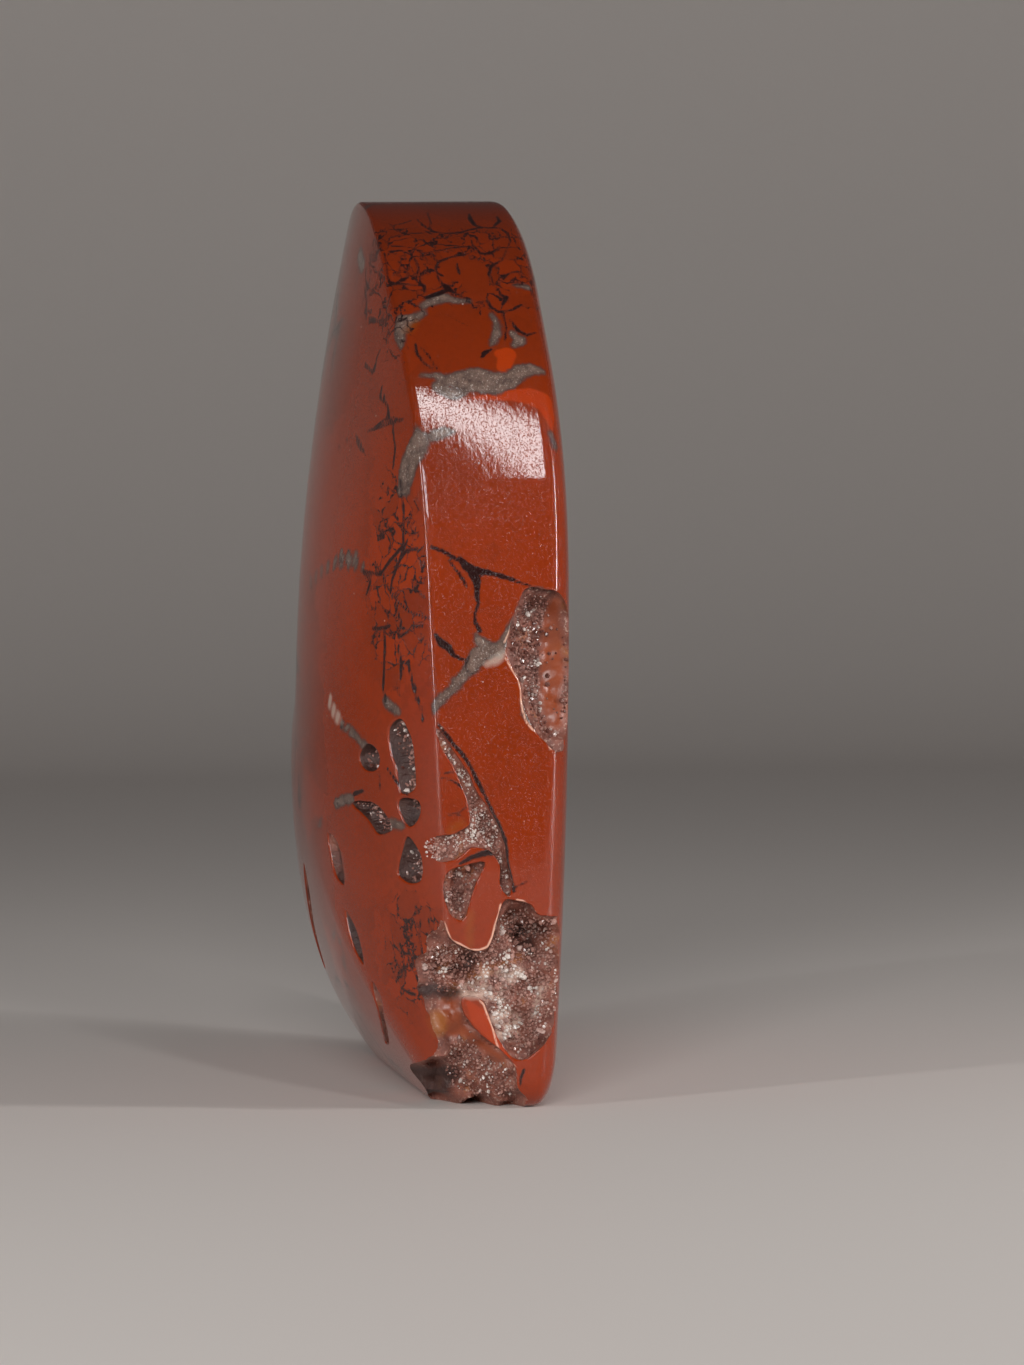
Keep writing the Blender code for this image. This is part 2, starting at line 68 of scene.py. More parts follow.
class Kind(Enum):
    """What a marking is; the value is the name of its attribute."""

    CRACK = "crack"
    CHALCEDONY = "chalcedony"
    MILKY = "milky"
    BRIGHT = "bright"
    OCHRE = "ochre"
    PLAIN = "plain"
    ORANGE = "orange"
    # painted shade in deep recesses and pits
    DARK = "dark"
    # painted highlight along rounded edges and lips
    PAINTED_GLINT = "painted_glint"


class Slot(Enum):
    """The record's material slots."""

    JASPER = "polished_jasper"
    DRUSE = "quartz_druse"


def srgb(hexes: str) -> tuple[float, float, float, float]:
    """Turns an sRGB hex colour to linear RGBA.

    Args:
        hexes: the colour as rrggbb.

    Returns:
        Red, green and blue as the shader takes them, with alpha 1.
    """
    parts = [int(hexes[i:i + 2], 16) / 255.0 for i in (0, 2, 4)]
    linear = [p / 12.92 if p <= 0.04045 else ((p + 0.055) / 1.055) ** 2.4 for p in parts]
    return (linear[0], linear[1], linear[2], 1.0)


def link(tree: bpy.types.NodeTree, source: NodeOutput, target: bpy.types.NodeSocket) -> None:
    """Links an output, or the first one in use of a node, to an input.

    Args:
        tree: the material's node tree.
        source: the output or the node.
        target: the input.
    """
    if isinstance(source, bpy.types.Node):
        source = next(output for output in source.outputs if output.enabled)
    tree.links.new(source, target)


def add(
        tree: bpy.types.NodeTree, kind: str, inputs: dict | None = None,
        **settings: object) -> bpy.types.Node:
    """Adds a shader node.

    Args:
        tree: the material's node tree.
        kind: the node's type name, without ShaderNode.
        inputs: a value, another node or its output for each input, by name or number.
        settings: the node's own settings.

    Returns:
        The new node.
    """
    made = tree.nodes.new("ShaderNode" + kind)
    for name, value in settings.items():
        setattr(made, name, value)
    for key, value in (inputs or {}).items():
        if isinstance(value, NodeOutput):
            link(tree, value, made.inputs[key])
        else:
            made.inputs[key].default_value = value
    return made


def new_material(name: str, ior: float) -> tuple[bpy.types.Material, bpy.types.Node, bpy.types.Node]:
    """Starts a material.

    Args:
        name: what the material really is.
        ior: its index of refraction.

    Returns:
        The material, its shader, and the node that gives the place on the piece in millimetres.
    """
    material = bpy.data.materials.new(name)
    material.use_nodes = True
    shader = material.node_tree.nodes["Principled BSDF"]
    shader.inputs["IOR"].default_value = ior
    place = add(material.node_tree, "TexCoord").outputs["Object"]
    mm = add(material.node_tree, "Mapping", {"Vector": place, "Scale": (1.0 / MM, 1.0 / MM, 1.0 / MM)})
    return material, shader, mm


def deselect() -> None:
    """Leaves object mode with nothing selected."""
    if bpy.context.object and bpy.context.object.mode != "OBJECT":
        bpy.ops.object.mode_set(mode="OBJECT")
    bpy.ops.object.select_all(action="DESELECT")


def activate(obj: bpy.types.Object) -> None:
    """Makes an object the only selected one and the active one.

    Args:
        obj: the object.
    """
    deselect()
    obj.select_set(True)
    bpy.context.view_layer.objects.active = obj


def unit(vector: np.ndarray) -> np.ndarray:
    """The vector at length 1."""
    return vector / np.linalg.norm(vector)


@dataclass
class HeartForm:
    """The stone's form in numbers: its outline, its rim band and its two faces, in millimetres."""

    corners: Points = (
        (0.0, 0.0, 2.5), (36.5, 36.5, 26.0), (38.0, 69.2, 17.5), (20.6, 75.2, 14.0),
        (0.4, 58.6, 3.0), (-21.2, 75.4, 14.0), (-42.1, 69.0, 17.5), (-39.2, 37.6, 26.0),
    )
    middle_w: float = 34.0
    fine_depth: float = 14.0  # the columns are close together from the near side to here
    fine_step: float = 0.2
    coarse_step: float = 0.9
    kink_window: float = math.radians(60.0)
    kink_steps: int = 12
    kink_power: float = 1.5
    crease_at_base: float = 4.07
    crease_growth: float = 0.00051
    crease_draw: float = 0.00028
    back_at_base: float = 3.3
    back_growth: float = 0.072
    back_fall: float = 0.0007
    front_bevel: float = 0.3
    back_bevel: float = 0.6
    front_rise: float = 8.0
    back_rise: float = 1.9
    face_power: float = 2.3
    halvings: int = 22
    shoulder_rise: float = 1.2
    shoulder_width: float = 1.1
    band_rows: int = 52
    near_insets: tuple[float, ...] = tuple(0.3 * step for step in range(33, 0, -1))
    inner_rows: int = 16
    back_insets: tuple[float, ...] = (0.22, 0.4, 0.6, 0.8, 1.1, 1.5, 2.2, 3.0, 4.5, 6.5)
    back_rows: int = 9
    columns: np.ndarray = field(init=False, repr=False)
    angles: np.ndarray = field(init=False, repr=False)
    reaches: np.ndarray = field(init=False, repr=False)
    rings: np.ndarray = field(init=False, repr=False)
    middles: np.ndarray = field(init=False, repr=False)
    centre: tuple[float, float] = field(init=False)

    def __post_init__(self) -> None:
        """Works out the outline, the rings of the blank and where the stone's middle lies."""
        self.columns = self.outline()
        offset = self.columns - (0.0, self.middle_w)
        angles = np.unwrap(np.arctan2(offset[:, 1], offset[:, 0]))
        self.angles = angles
        self.reaches = np.linalg.norm(offset, axis=1)
        self.rings = self.all_rings()
        u, v = self.to_pose(np.array(0.0), np.array(self.middle_w))
        self.middles = np.array((
            (u, self.front_y(np.array(0.0), u, v), v), (u, self.back_y(np.array(0.0), self.middle_w, v), v),
        ))
        y = np.append(self.rings[:, :, 1], self.middles[:, 1])
        self.centre = (
            float(self.rings[:, :, 0].min() + self.rings[:, :, 0].max()) / 2.0,
            float(y.min() + y.max()) / 2.0,
        )

    @property
    def near_lean(self) -> float:
        """How far the near side leans out for each millimetre of height."""
        lat, w, _ = self.corners[-1]
        return (w + lat) / (w - lat)

    def near_u(self, v: np.ndarray) -> np.ndarray:
        """How far back the near side lies, with its rounding at the top and the tip.

        Args:
            v: heights above the table.

        Returns:
            u of the near side at each height.
        """
        top = int(np.argmax(self.rim_v))
        last = int(np.argmin(self.rim_v[:len(self.rim_v) // 4]))
        order = np.concatenate((np.arange(top, len(self.rim_v)), np.arange(last + 1)))[::-1]
        return np.interp(v, self.rim_v[order], self.rim_u[order])

    @property
    def rim_u(self) -> np.ndarray:
        """How far back each column of the outline lies."""
        return self.to_pose(self.columns[:, 0], self.columns[:, 1])[0]

    @property
    def rim_v(self) -> np.ndarray:
        """How high each column of the outline lies."""
        return self.to_pose(self.columns[:, 0], self.columns[:, 1])[1]

    @staticmethod
    def to_pose(lat: np.ndarray, w: np.ndarray) -> tuple[np.ndarray, np.ndarray]:
        """(u, v) of places that are given across and along the heart."""
        return (w + lat) / math.sqrt(2.0), (w - lat) / math.sqrt(2.0)

    def outline(self) -> np.ndarray:
        """Rounds the heart's corners and divides its outline, closely near the straight side that shows.

        Returns:
            The outline's points as (lat, w), anticlockwise from the tip.
        """
        path = []
        for index, (lat, w, radius) in enumerate(self.corners):
            here = np.array((lat, w))
            to_last = unit(np.array(self.corners[index - 1][:2]) - here)
            to_next = unit(np.array(self.corners[(index + 1) % len(self.corners)][:2]) - here)
            half = math.acos(to_last @ to_next) / 2.0
            middle = here + unit(to_last + to_next) * radius / math.sin(half)
            start = here + to_last * radius / math.tan(half) - middle
            end = here + to_next * radius / math.tan(half) - middle
            turn = math.atan2(start[0] * end[1] - start[1] * end[0], start @ end)
            near = middle.sum() / math.sqrt(2.0) - radius < self.fine_depth
            steps = max(6, math.ceil(abs(turn) * radius / (self.fine_step if near else self.coarse_step)))
            angle = turn * np.arange(steps + 1) / steps
            sideways = (-start[1], start[0])
            path.append(middle + np.outer(np.cos(angle), start) + np.outer(np.sin(angle), sideways))
        arcs = np.vstack(path)
        divided = []
        for here, ahead in zip(arcs, np.roll(arcs, -1, axis=0)):
            near = (here + ahead).sum() / 2.0 / math.sqrt(2.0) < self.fine_depth
            length = float(np.linalg.norm(ahead - here))
            pieces = max(1, round(length / (self.fine_step if near else self.coarse_step)))
            divided += [here + (ahead - here) * piece / pieces for piece in range(pieces)]
        return np.array(divided)

    def reach(self, angle: np.ndarray) -> np.ndarray:
        """Distance from the stone's middle to its outline.

        Args:
            angle: directions out of the middle, in radians.

        Returns:
            The distance in each direction.
        """
        first = self.angles[0]
        turned = (angle - first) % (2.0 * math.pi) + first
        angles = np.append(self.angles, first + 2.0 * math.pi)
        return np.interp(turned, angles, np.append(self.reaches, self.reaches[0]))

    def smooth_reach(self, angle: np.ndarray) -> np.ndarray:
        """The reach without the kinks of the tip and the cleft.

        Args:
            angle: directions out of the middle, in radians.

        Returns:
            For each direction, the mean reach over a window that is weighted to its middle.
        """
        steps = np.arange(-self.kink_steps, self.kink_steps + 1)
        weights = 0.5 + 0.5 * np.cos(math.pi * steps / (self.kink_steps + 1))
        window = self.kink_window * steps / self.kink_steps
        return (weights * self.reach(np.asarray(angle)[..., None] + window)).sum(axis=-1) / weights.sum()

    def along_ray(self, share: np.ndarray, reach: np.ndarray, smooth: np.ndarray) -> np.ndarray:
        """Distance of each ring from the middle: smooth near the middle, the outline at the rim."""
        kinked = share ** self.kink_power
        return share * (smooth * (1.0 - kinked) + reach * kinked)

    def share_of(self, distance: np.ndarray, reach: np.ndarray, smooth: np.ndarray) -> np.ndarray:
        """The share of the ring that passes at each distance from the middle, found by halving.

        Args:
            distance: distances from the middle.
            reach: the outline's distance in the same directions.
            smooth: that distance without its kinks.

        Returns:
            The shares, 0 at the middle and 1 at the outline.
        """
        low, high = np.zeros_like(distance), np.ones_like(distance)
        for _ in range(self.halvings):
            middle = (low + high) / 2.0
            short = self.along_ray(middle, reach, smooth) < distance
            low, high = np.where(short, middle, low), np.where(short, high, middle)
        return high

    def front_crease(self, u: np.ndarray, v: np.ndarray) -> np.ndarray:
        """How far the front crease lies in front of the middle line of the rim."""
        return self.crease_at_base + self.crease_growth * v * v - self.crease_draw * u * u

    def back_crease(self, v: np.ndarray) -> np.ndarray:
        """How far the back crease lies behind that line."""
        return self.back_at_base + self.back_growth * v - self.back_fall * v * v

    def front_y(self, share: np.ndarray, u: np.ndarray, v: np.ndarray) -> np.ndarray:
        """The front face at a share of the way from its middle to the outline."""
        return -(self.front_crease(u, v) + self.front_rise * (1.0 - share ** self.face_power))

    def back_y(self, share: np.ndarray, inset: np.ndarray, v: np.ndarray) -> np.ndarray:
        """The back face, with inset the distance in from the outline."""
        shoulder = self.shoulder_rise * (1.0 - np.exp(-inset / self.shoulder_width))
        return self.back_crease(v) + self.back_rise * (1.0 - share ** self.face_power) + shoulder

    def front_surface(self, u: np.ndarray, v: np.ndarray) -> np.ndarray:
        """The front face as a surface.

        Args:
            u: how far back from the near side each place lies.
            v: how high above the table it lies.

        Returns:
            y of the front face at each place.
        """
        u, v = np.asarray(u, float), np.asarray(v, float)
        lat, w = (u - v) / math.sqrt(2.0), (u + v) / math.sqrt(2.0) - self.middle_w
        angle, distance = np.arctan2(w, lat), np.hypot(lat, w)
        reach = self.reach(angle)
        share = self.share_of(np.minimum(distance, reach), reach, self.smooth_reach(angle))
        return self.front_y(share, u, v)

    def all_rings(self) -> np.ndarray:
        """The rings of the blank, from inside the front face over the rim band to inside the back face.

        Returns:
            An array of rings, columns and (u, y, v).
        """
        reach, smooth = self.reaches, self.smooth_reach(self.angles)
        ray = np.stack((np.cos(self.angles), np.sin(self.angles)), axis=1)

        def ring(inset: np.ndarray, back: bool) -> np.ndarray:
            """One ring of a face.

            Args:
                inset: how far in from the outline each column of it lies.
                back: whether it lies on the back face.

            Returns:
                Its (u, y, v) points.
            """
            share = self.share_of(reach - inset, reach, smooth)
            flat = (reach - inset)[:, None] * ray + (0.0, self.middle_w)
            u, v = self.to_pose(flat[:, 0], flat[:, 1])
            y = self.back_y(share, inset, v) if back else self.front_y(share, u, v)
            return np.stack((u, y, v), axis=1)

        def rounded(first: np.ndarray, corner: np.ndarray, last: np.ndarray) -> list[np.ndarray]:
            """Three rings that round the corner between two others."""
            return [
                (1 - t) ** 2 * first + 2 * t * (1 - t) * corner + t * t * last for t in (0.25, 0.5, 0.75)]

        outer = reach - self.near_insets[0]
        front = [ring(reach - outer * row / self.inner_rows, False) for row in range(1, self.inner_rows)]
        front += [ring(np.full_like(reach, inset), False) for inset in self.near_insets]
        u, v = self.to_pose(self.columns[:, 0], self.columns[:, 1])
        before, behind = -self.front_crease(u, v), self.back_crease(v)
        starts, ends = before + self.front_bevel, behind - self.back_bevel
        band = [
            np.stack((u, starts + (ends - starts) * row / self.band_rows, v), axis=1)
            for row in range(self.band_rows + 1)
        ]
        back = [ring(np.full_like(reach, inset), True) for inset in self.back_insets]
        inner = reach - self.back_insets[-1]
        back += [ring(reach - inner * row / self.back_rows, True) for row in range(self.back_rows - 1, 0, -1)]
        front_edge = rounded(front[-1], np.stack((u, before, v), axis=1), band[0])
        back_edge = rounded(band[-1], np.stack((u, behind, v), axis=1), back[0])
        return np.array((*front, *front_edge, *band, *back_edge, *back))

    def place(self, uyv: np.ndarray) -> np.ndarray:
        """Places (u, y, v) points in the model, in metres: the origin is under the stone's middle."""
        uyv = np.asarray(uyv, float)
        return np.stack(
            (self.centre[0] - uyv[..., 0], uyv[..., 1] - self.centre[1], uyv[..., 2]), axis=-1) * MM

    def unplace(self, xyz: np.ndarray) -> np.ndarray:
        """(u, y, v) of points of the model."""
        return np.stack(
            (self.centre[0] - xyz[:, 0] / MM, xyz[:, 1] / MM + self.centre[1], xyz[:, 2] / MM), axis=-1)

    def at(self, surface: Surface, flat: np.ndarray, depth: np.ndarray) -> np.ndarray:
        """(u, y, v) of places on one face of the stone, at a depth into it.

        Args:
            surface: the face that the points are given on.
            flat: the points, two coordinates each.
            depth: how deep each lies under the face.

        Returns:
            The places.
        """
        flat, depth = np.asarray(flat, float), np.asarray(depth, float)
        first, v = flat[..., 0], flat[..., 1]
        if surface is Surface.BAND:
            return np.stack((self.near_lean * v + depth, first, v + 0.0 * depth), axis=-1)
        return np.stack((first + 0.0 * depth, self.front_surface(first, v) + depth, v + 0.0 * depth), axis=-1)


def set_ring(bm: bmesh.types.BMesh, column: bmesh.types.BMLayerItem, places: np.ndarray) -> None:
    """Moves the selected ring's vertices to their places, each by its column's number.

    Args:
        bm: the mesh in edit mode.
        column: the layer that holds each vertex's column.
        places: one place for each column.
    """
    for vert in bm.verts:
        if vert.select:
            vert.co = places[vert[column]]


@dataclass(frozen=True)
class Hollow:
    """A natural hollow in the stone: its rim and floor points, each with its depth in millimetres.

    It is worked flat, with x and y the face's two coordinates and z up out of the stone, and placed at
    the end.
    """

    name: str
    surface: Surface
    rim: Points
    floor: Points
    lump: float = 0.2
    grid: float = 0.3
    lip: float = 0.14
    step: float = 0.25
    clear: float = 4.0
    edge_uneven: float = 0.07
    least_depth: float = 0.05

    def smooth_rim(self) -> np.ndarray:
        """The rim as a smooth closed curve, a little uneven as a natural edge is.

        Returns:
            Its points as (a, b, depth).
        """
        points = np.array(self.rim)
        ahead = np.roll(points, -1, axis=0) - points
        length = np.linalg.norm(ahead[:, :2], axis=1)
        way = ahead / length[:, None]
        tangent = (way + np.roll(way, 1, axis=0)) / 2.0
        curve = []
        for index, here in enumerate(points):
            after = (index + 1) % len(points)
            count = max(2, round(length[index] / self.step))
            for t in np.arange(count) / count:
                curve.append(
                    (1 + 2 * t) * (1 - t) ** 2 * here + t * (1 - t) ** 2 * length[index] * tangent[index]
                    + t * t * (3 - 2 * t) * points[after] - t * t * (1 - t) * length[index] * tangent[after])
        curve = np.array(curve)
        outward = self.outward(curve)
        uneven = [self.edge_uneven * noise.noise(Vector((a * 1.3, b * 1.3, 4.0))) for a, b, _ in curve]
        curve[:, :2] += outward * np.array(uneven)[:, None]
        return curve

    @staticmethod
    def outward(curve: np.ndarray) -> np.ndarray:
        """The flat direction out of a closed curve.

        Args:
            curve: its points.

        Returns:
            The direction at each point, at length 1.
        """
        along = np.roll(curve[:, :2], -1, axis=0) - np.roll(curve[:, :2], 1, axis=0)
        a, b = curve[:, 0], curve[:, 1]
        area = (a * np.roll(b, -1) - np.roll(a, -1) * b).sum()
        side = np.stack((along[:, 1], -along[:, 0]), axis=1) * math.copysign(1.0, area)
        return side / np.linalg.norm(side, axis=1)[:, None]

    def depth(self, flat: np.ndarray) -> np.ndarray:
        """Depth of the hollow's floor, with its lumps.

        Args:
            flat: places in the face's two coordinates.

        Returns:
            The depth at each place.
        """
        known = np.array(self.rim + self.floor)
        gap = ((flat[:, None, :] - known[None, :, :2]) ** 2).sum(axis=2) + 1e-4
        weight = gap ** -1.75
        smooth = (weight * known[:, 2]).sum(axis=1) / weight.sum(axis=1)
        lumps = [
            noise.noise(Vector((a * 0.9, b * 0.9, 7.0))) + 0.5 * noise.noise(Vector((a * 2.3, b * 2.3, 1.0)))
            for a, b in flat
        ]
        return np.maximum(smooth + self.lump * np.array(lumps), self.least_depth)

    def cutter(self, form: HeartForm) -> bpy.types.Object:
        """Models the body that cuts the hollow: a rounded polished lip, a wall and a rough floor.

        Args:
            form: the stone's form.

        Returns:
            The cutter, in place. Its lip has material 0 and its wall and floor have material 1.
        """
        rim = self.smooth_rim()
        outward = self.outward(rim)
        deselect()
        bpy.ops.mesh.primitive_circle_add(vertices=len(rim), radius=1.0, fill_type="NGON")
        cutter = bpy.context.object
        cutter.name = self.name + "_cutter"
        flat = np.zeros((len(rim), 3))
        bpy.ops.object.mode_set(mode="EDIT")
        bm = bmesh.from_edit_mesh(cutter.data)
        column = bm.verts.layers.int.new("column")
        for number, vert in enumerate(bm.verts):
            vert[column] = number
        profile = (
            (self.lip, self.clear), (self.lip, 0.0), (0.5 * self.lip, -0.134 * self.lip),
            (0.134 * self.lip, -0.5 * self.lip), (0.0, -self.lip), (0.0, None),
        )
        for number, (out, height) in enumerate(profile):
            if number:
                bpy.ops.mesh.extrude_region_move()
                bm = bmesh.from_edit_mesh(cutter.data)
                column = bm.verts.layers.int["column"]
            flat[:, :2] = rim[:, :2] + outward * out
            flat[:, 2] = -rim[:, 2] if height is None else height
            set_ring(bm, column, flat)
            if number == 4:
                for face in bm.faces:
                    face.material_index = 0
                    if face.select:
                        face.material_index = 1
        self.rough_floor(cutter)
        bpy.ops.object.mode_set(mode="OBJECT")
        places = np.empty(len(cutter.data.vertices) * 3)
        cutter.data.vertices.foreach_get("co", places)
        places = places.reshape(-1, 3)
        placed = form.place(form.at(self.surface, places[:, :2], -places[:, 2]))
        cutter.data.vertices.foreach_set("co", placed.ravel())
        if self.surface is Surface.FACE:
            cutter.data.flip_normals()
        return cutter

    def rough_floor(self, cutter: bpy.types.Object) -> None:
        """Divides the cutter's end into a fine uneven grid and lowers it to the hollow's floor.

        Args:
            cutter: the cutter, in edit mode, with the face of its end selected.
        """
        bm = bmesh.from_edit_mesh(cutter.data)
        corners = [vert.co.copy() for face in bm.faces if face.material_index == 1 for vert in face.verts]
        for normal in (Vector((1.0, 0.07, 0.0)).normalized(), Vector((-0.05, 1.0, 0.0)).normalized()):
            along = [corner.dot(normal) for corner in corners]
            count = math.ceil((max(along) - min(along)) / self.grid)
            for row in [min(along) + self.grid * number for number in range(1, count)]:
                bpy.ops.mesh.bisect(plane_co=normal * row, plane_no=normal)
                bm = bmesh.from_edit_mesh(cutter.data)
                for face in bm.faces:
                    face.select = face.material_index == 1
        for face in bm.faces:
            face.select = face.material_index == 1
        bpy.ops.mesh.quads_convert_to_tris(quad_method="BEAUTY", ngon_method="BEAUTY")
        bm = bmesh.from_edit_mesh(cutter.data)
        inner = [vert for vert in bm.verts if all(face.material_index == 1 for face in vert.link_faces)]
        depths = self.depth(np.array([vert.co[:2] for vert in inner]))
        for vert, depth in zip(inner, depths):
            vert.co.z = -depth
        for face in bm.faces:
            if any(vert.co.z < -self.lip - 0.001 for vert in face.verts):
                face.material_index = 1
        bpy.ops.mesh.select_all(action="SELECT")
        bpy.ops.mesh.normals_make_consistent(inside=False)


def face_pit(name: str, outline: Points, depth: float) -> Hollow:
    """A small pit in the front face, with a deeper ring inside its outline.

    Args:
        name: what it is called.
        outline: its (u, v) points.
        depth: how deep the ring lies, in millimetres.

    Returns:
        The pit.
    """
    rim_depth, ring_size = 0.35, 0.45  # as shares of the depth and of the outline
    middle = np.mean(outline, axis=0)
    rim = tuple((u, v, depth * rim_depth) for u, v in outline)
    ring = tuple((*(middle + (np.array(point) - middle) * ring_size), depth) for point in outline)
    return Hollow(name, Surface.FACE, rim, ring, lump=0.12, grid=0.25, lip=0.12)


SIDE_HOLLOW = Hollow("side_hollow", Surface.BAND, (
    (2.8, 41.5, 0.6), (4.2, 41.4, 0.8), (5.6, 41.0, 1.4), (6.6, 39.0, 2.4), (6.9, 35.0, 3.0),
    (6.8, 31.0, 2.4), (6.0, 28.6, 1.2), (5.0, 28.5, 0.6), (4.2, 29.2, 0.5), (3.1, 30.6, 0.6),
    (2.4, 32.3, 0.7), (2.2, 33.8, 0.7), (1.6, 35.2, 0.6), (1.1, 36.6, 0.5), (1.5, 38.6, 0.7),
    (2.1, 40.2, 0.7),
), (
    (3.3, 39.8, 2.4), (4.6, 39.2, 2.7), (2.5, 38.0, 2.2), (3.9, 37.2, 3.2), (5.3, 36.6, 3.0),
    (2.9, 35.6, 2.2), (4.2, 34.6, 3.0), (5.4, 33.4, 2.8), (3.4, 33.0, 2.2), (4.4, 31.4, 2.1),
    (5.4, 30.4, 1.8),
))
SEAM_HOLLOW = Hollow("seam_hollow", Surface.BAND, (
    (-4.6, 30.6, 0.2), (-3.9, 29.8, 0.3), (-3.0, 28.3, 0.4), (-2.0, 26.8, 0.4), (-1.5, 25.5, 0.4),
    (-0.8, 24.5, 0.4), (0.2, 22.8, 0.5), (0.7, 21.3, 0.5), (0.9, 19.8, 0.5), (1.3, 17.9, 0.6),
    (1.0, 17.1, 0.6), (0.4, 17.8, 0.6), (0.2, 19.8, 0.6), (-0.8, 20.9, 0.5), (-2.0, 21.0, 0.5),
    (-3.3, 20.1, 0.4), (-5.6, 20.3, 0.4), (-5.6, 21.7, 0.4), (-3.3, 22.2, 0.5), (-2.1, 22.9, 0.4),
    (-2.1, 24.2, 0.4), (-2.7, 26.1, 0.4), (-3.4, 27.7, 0.3), (-4.3, 29.2, 0.2),
), (
    (-3.5, 28.4, 0.6), (-2.4, 26.4, 0.7), (-1.6, 24.4, 0.8), (-0.8, 22.9, 1.1), (-0.1, 21.6, 1.3),
    (-1.6, 22.0, 0.9), (-2.8, 21.2, 0.8), (-4.2, 21.0, 0.7), (0.5, 20.0, 1.1), (0.8, 18.4, 0.9),
), grid=0.22, lip=0.1)
CORNER_HOLLOW = Hollow("corner_hollow", Surface.BAND, (
    (-4.0, 19.0, 0.3), (-2.6, 19.6, 0.5), (-0.9, 19.8, 0.5), (-1.5, 18.5, 0.4), (-2.1, 16.9, 0.4),
    (-2.8, 15.3, 0.3), (-3.6, 15.7, 0.4), (-4.2, 17.2, 0.4),
), (
    (-2.9, 18.7, 1.7), (-2.0, 18.9, 1.3), (-3.1, 17.4, 1.3), (-3.1, 16.4, 0.9),
), grid=0.22, lip=0.1)
TIP_HOLLOW = Hollow("tip_hollow", Surface.BAND, (
    (-4.5, 15.4, 0.3), (-3.7, 13.8, 0.9), (-2.8, 13.2, 1.1), (-1.7, 12.8, 1.2), (-0.7, 13.1, 1.1),
    (-0.2, 14.4, 1.0), (0.3, 16.1, 0.8), (0.7, 16.8, 0.6), (1.6, 16.7, 0.8), (2.8, 16.3, 1.0),
    (3.3, 15.6, 1.3), (4.1, 15.4, 0.9), (5.2, 15.2, 0.8), (5.3, 12.8, 1.0), (5.2, 10.0, 1.0),
    (5.0, 7.4, 0.8), (4.3, 5.9, 0.6), (2.9, 4.5, 0.7), (1.9, 4.0, 0.6), (1.0, 4.3, 0.5),
    (0.1, 5.5, 0.6), (-0.4, 6.6, 0.6), (-0.9, 8.1, 0.5), (-1.4, 9.0, 0.5), (-2.9, 9.1, 0.4),
    (-2.8, 8.0, 0.3), (-1.6, 6.3, 0.3), (0.4, 4.6, 0.3), (1.3, 3.4, 0.3), (1.5, 1.8, 0.5),
    (2.4, 0.7, 0.8), (3.2, -1.5, 1.6), (-9.0, -1.5, 12.0), (-9.0, 3.4, 9.0), (-9.0, 4.6, 2.0),
    (-9.0, 15.4, 0.2),
), (
    (-5.4, 13.2, 1.7), (-5.8, 11.6, 2.9), (-5.9, 10.0, 2.9), (-5.6, 8.6, 2.3), (-5.2, 7.1, 1.7),
    (-5.0, 5.6, 1.0), (-5.6, 4.8, 1.8), (-4.4, 4.6, 1.2), (-3.6, 12.4, 2.2), (-2.2, 11.9, 2.4),
    (-4.4, 11.2, 3.4), (-3.0, 11.0, 3.6), (-1.9, 10.6, 2.9), (-3.9, 9.9, 2.2), (-4.1, 8.6, 1.3),
    (-3.7, 7.4, 0.8), (-0.6, 11.2, 2.0), (0.4, 12.8, 1.8), (1.0, 14.6, 2.3), (1.9, 15.3, 3.2),
    (2.7, 14.0, 4.2), (3.7, 14.0, 3.8), (4.5, 12.4, 2.4), (2.6, 12.0, 2.7), (0.9, 10.6, 2.3),
    (3.8, 10.0, 2.6), (2.2, 9.4, 2.4), (0.6, 8.2, 2.0), (3.6, 7.8, 2.2), (1.8, 6.9, 2.6),
    (1.3, 5.4, 1.8), (2.8, 5.7, 1.8), (-3.2, 5.8, 1.4), (-1.9, 4.6, 1.9), (-0.3, 3.3, 1.9),
    (0.7, 1.9, 2.0), (-3.3, 3.8, 2.6), (-1.8, 2.6, 2.9), (-0.3, 1.4, 3.2), (1.2, 0.7, 2.7),
    (-3.4, 1.4, 5.0), (-1.6, 0.8, 4.2), (-4.5, 3.4, 5.6), (-4.4, 1.6, 7.4), (-6.0, 2.2, 9.0),
    (1.4, 0.1, 4.4), (-1.2, 0.1, 8.0), (-3.8, 0.3, 9.6),
), lump=0.3, lip=0.09)
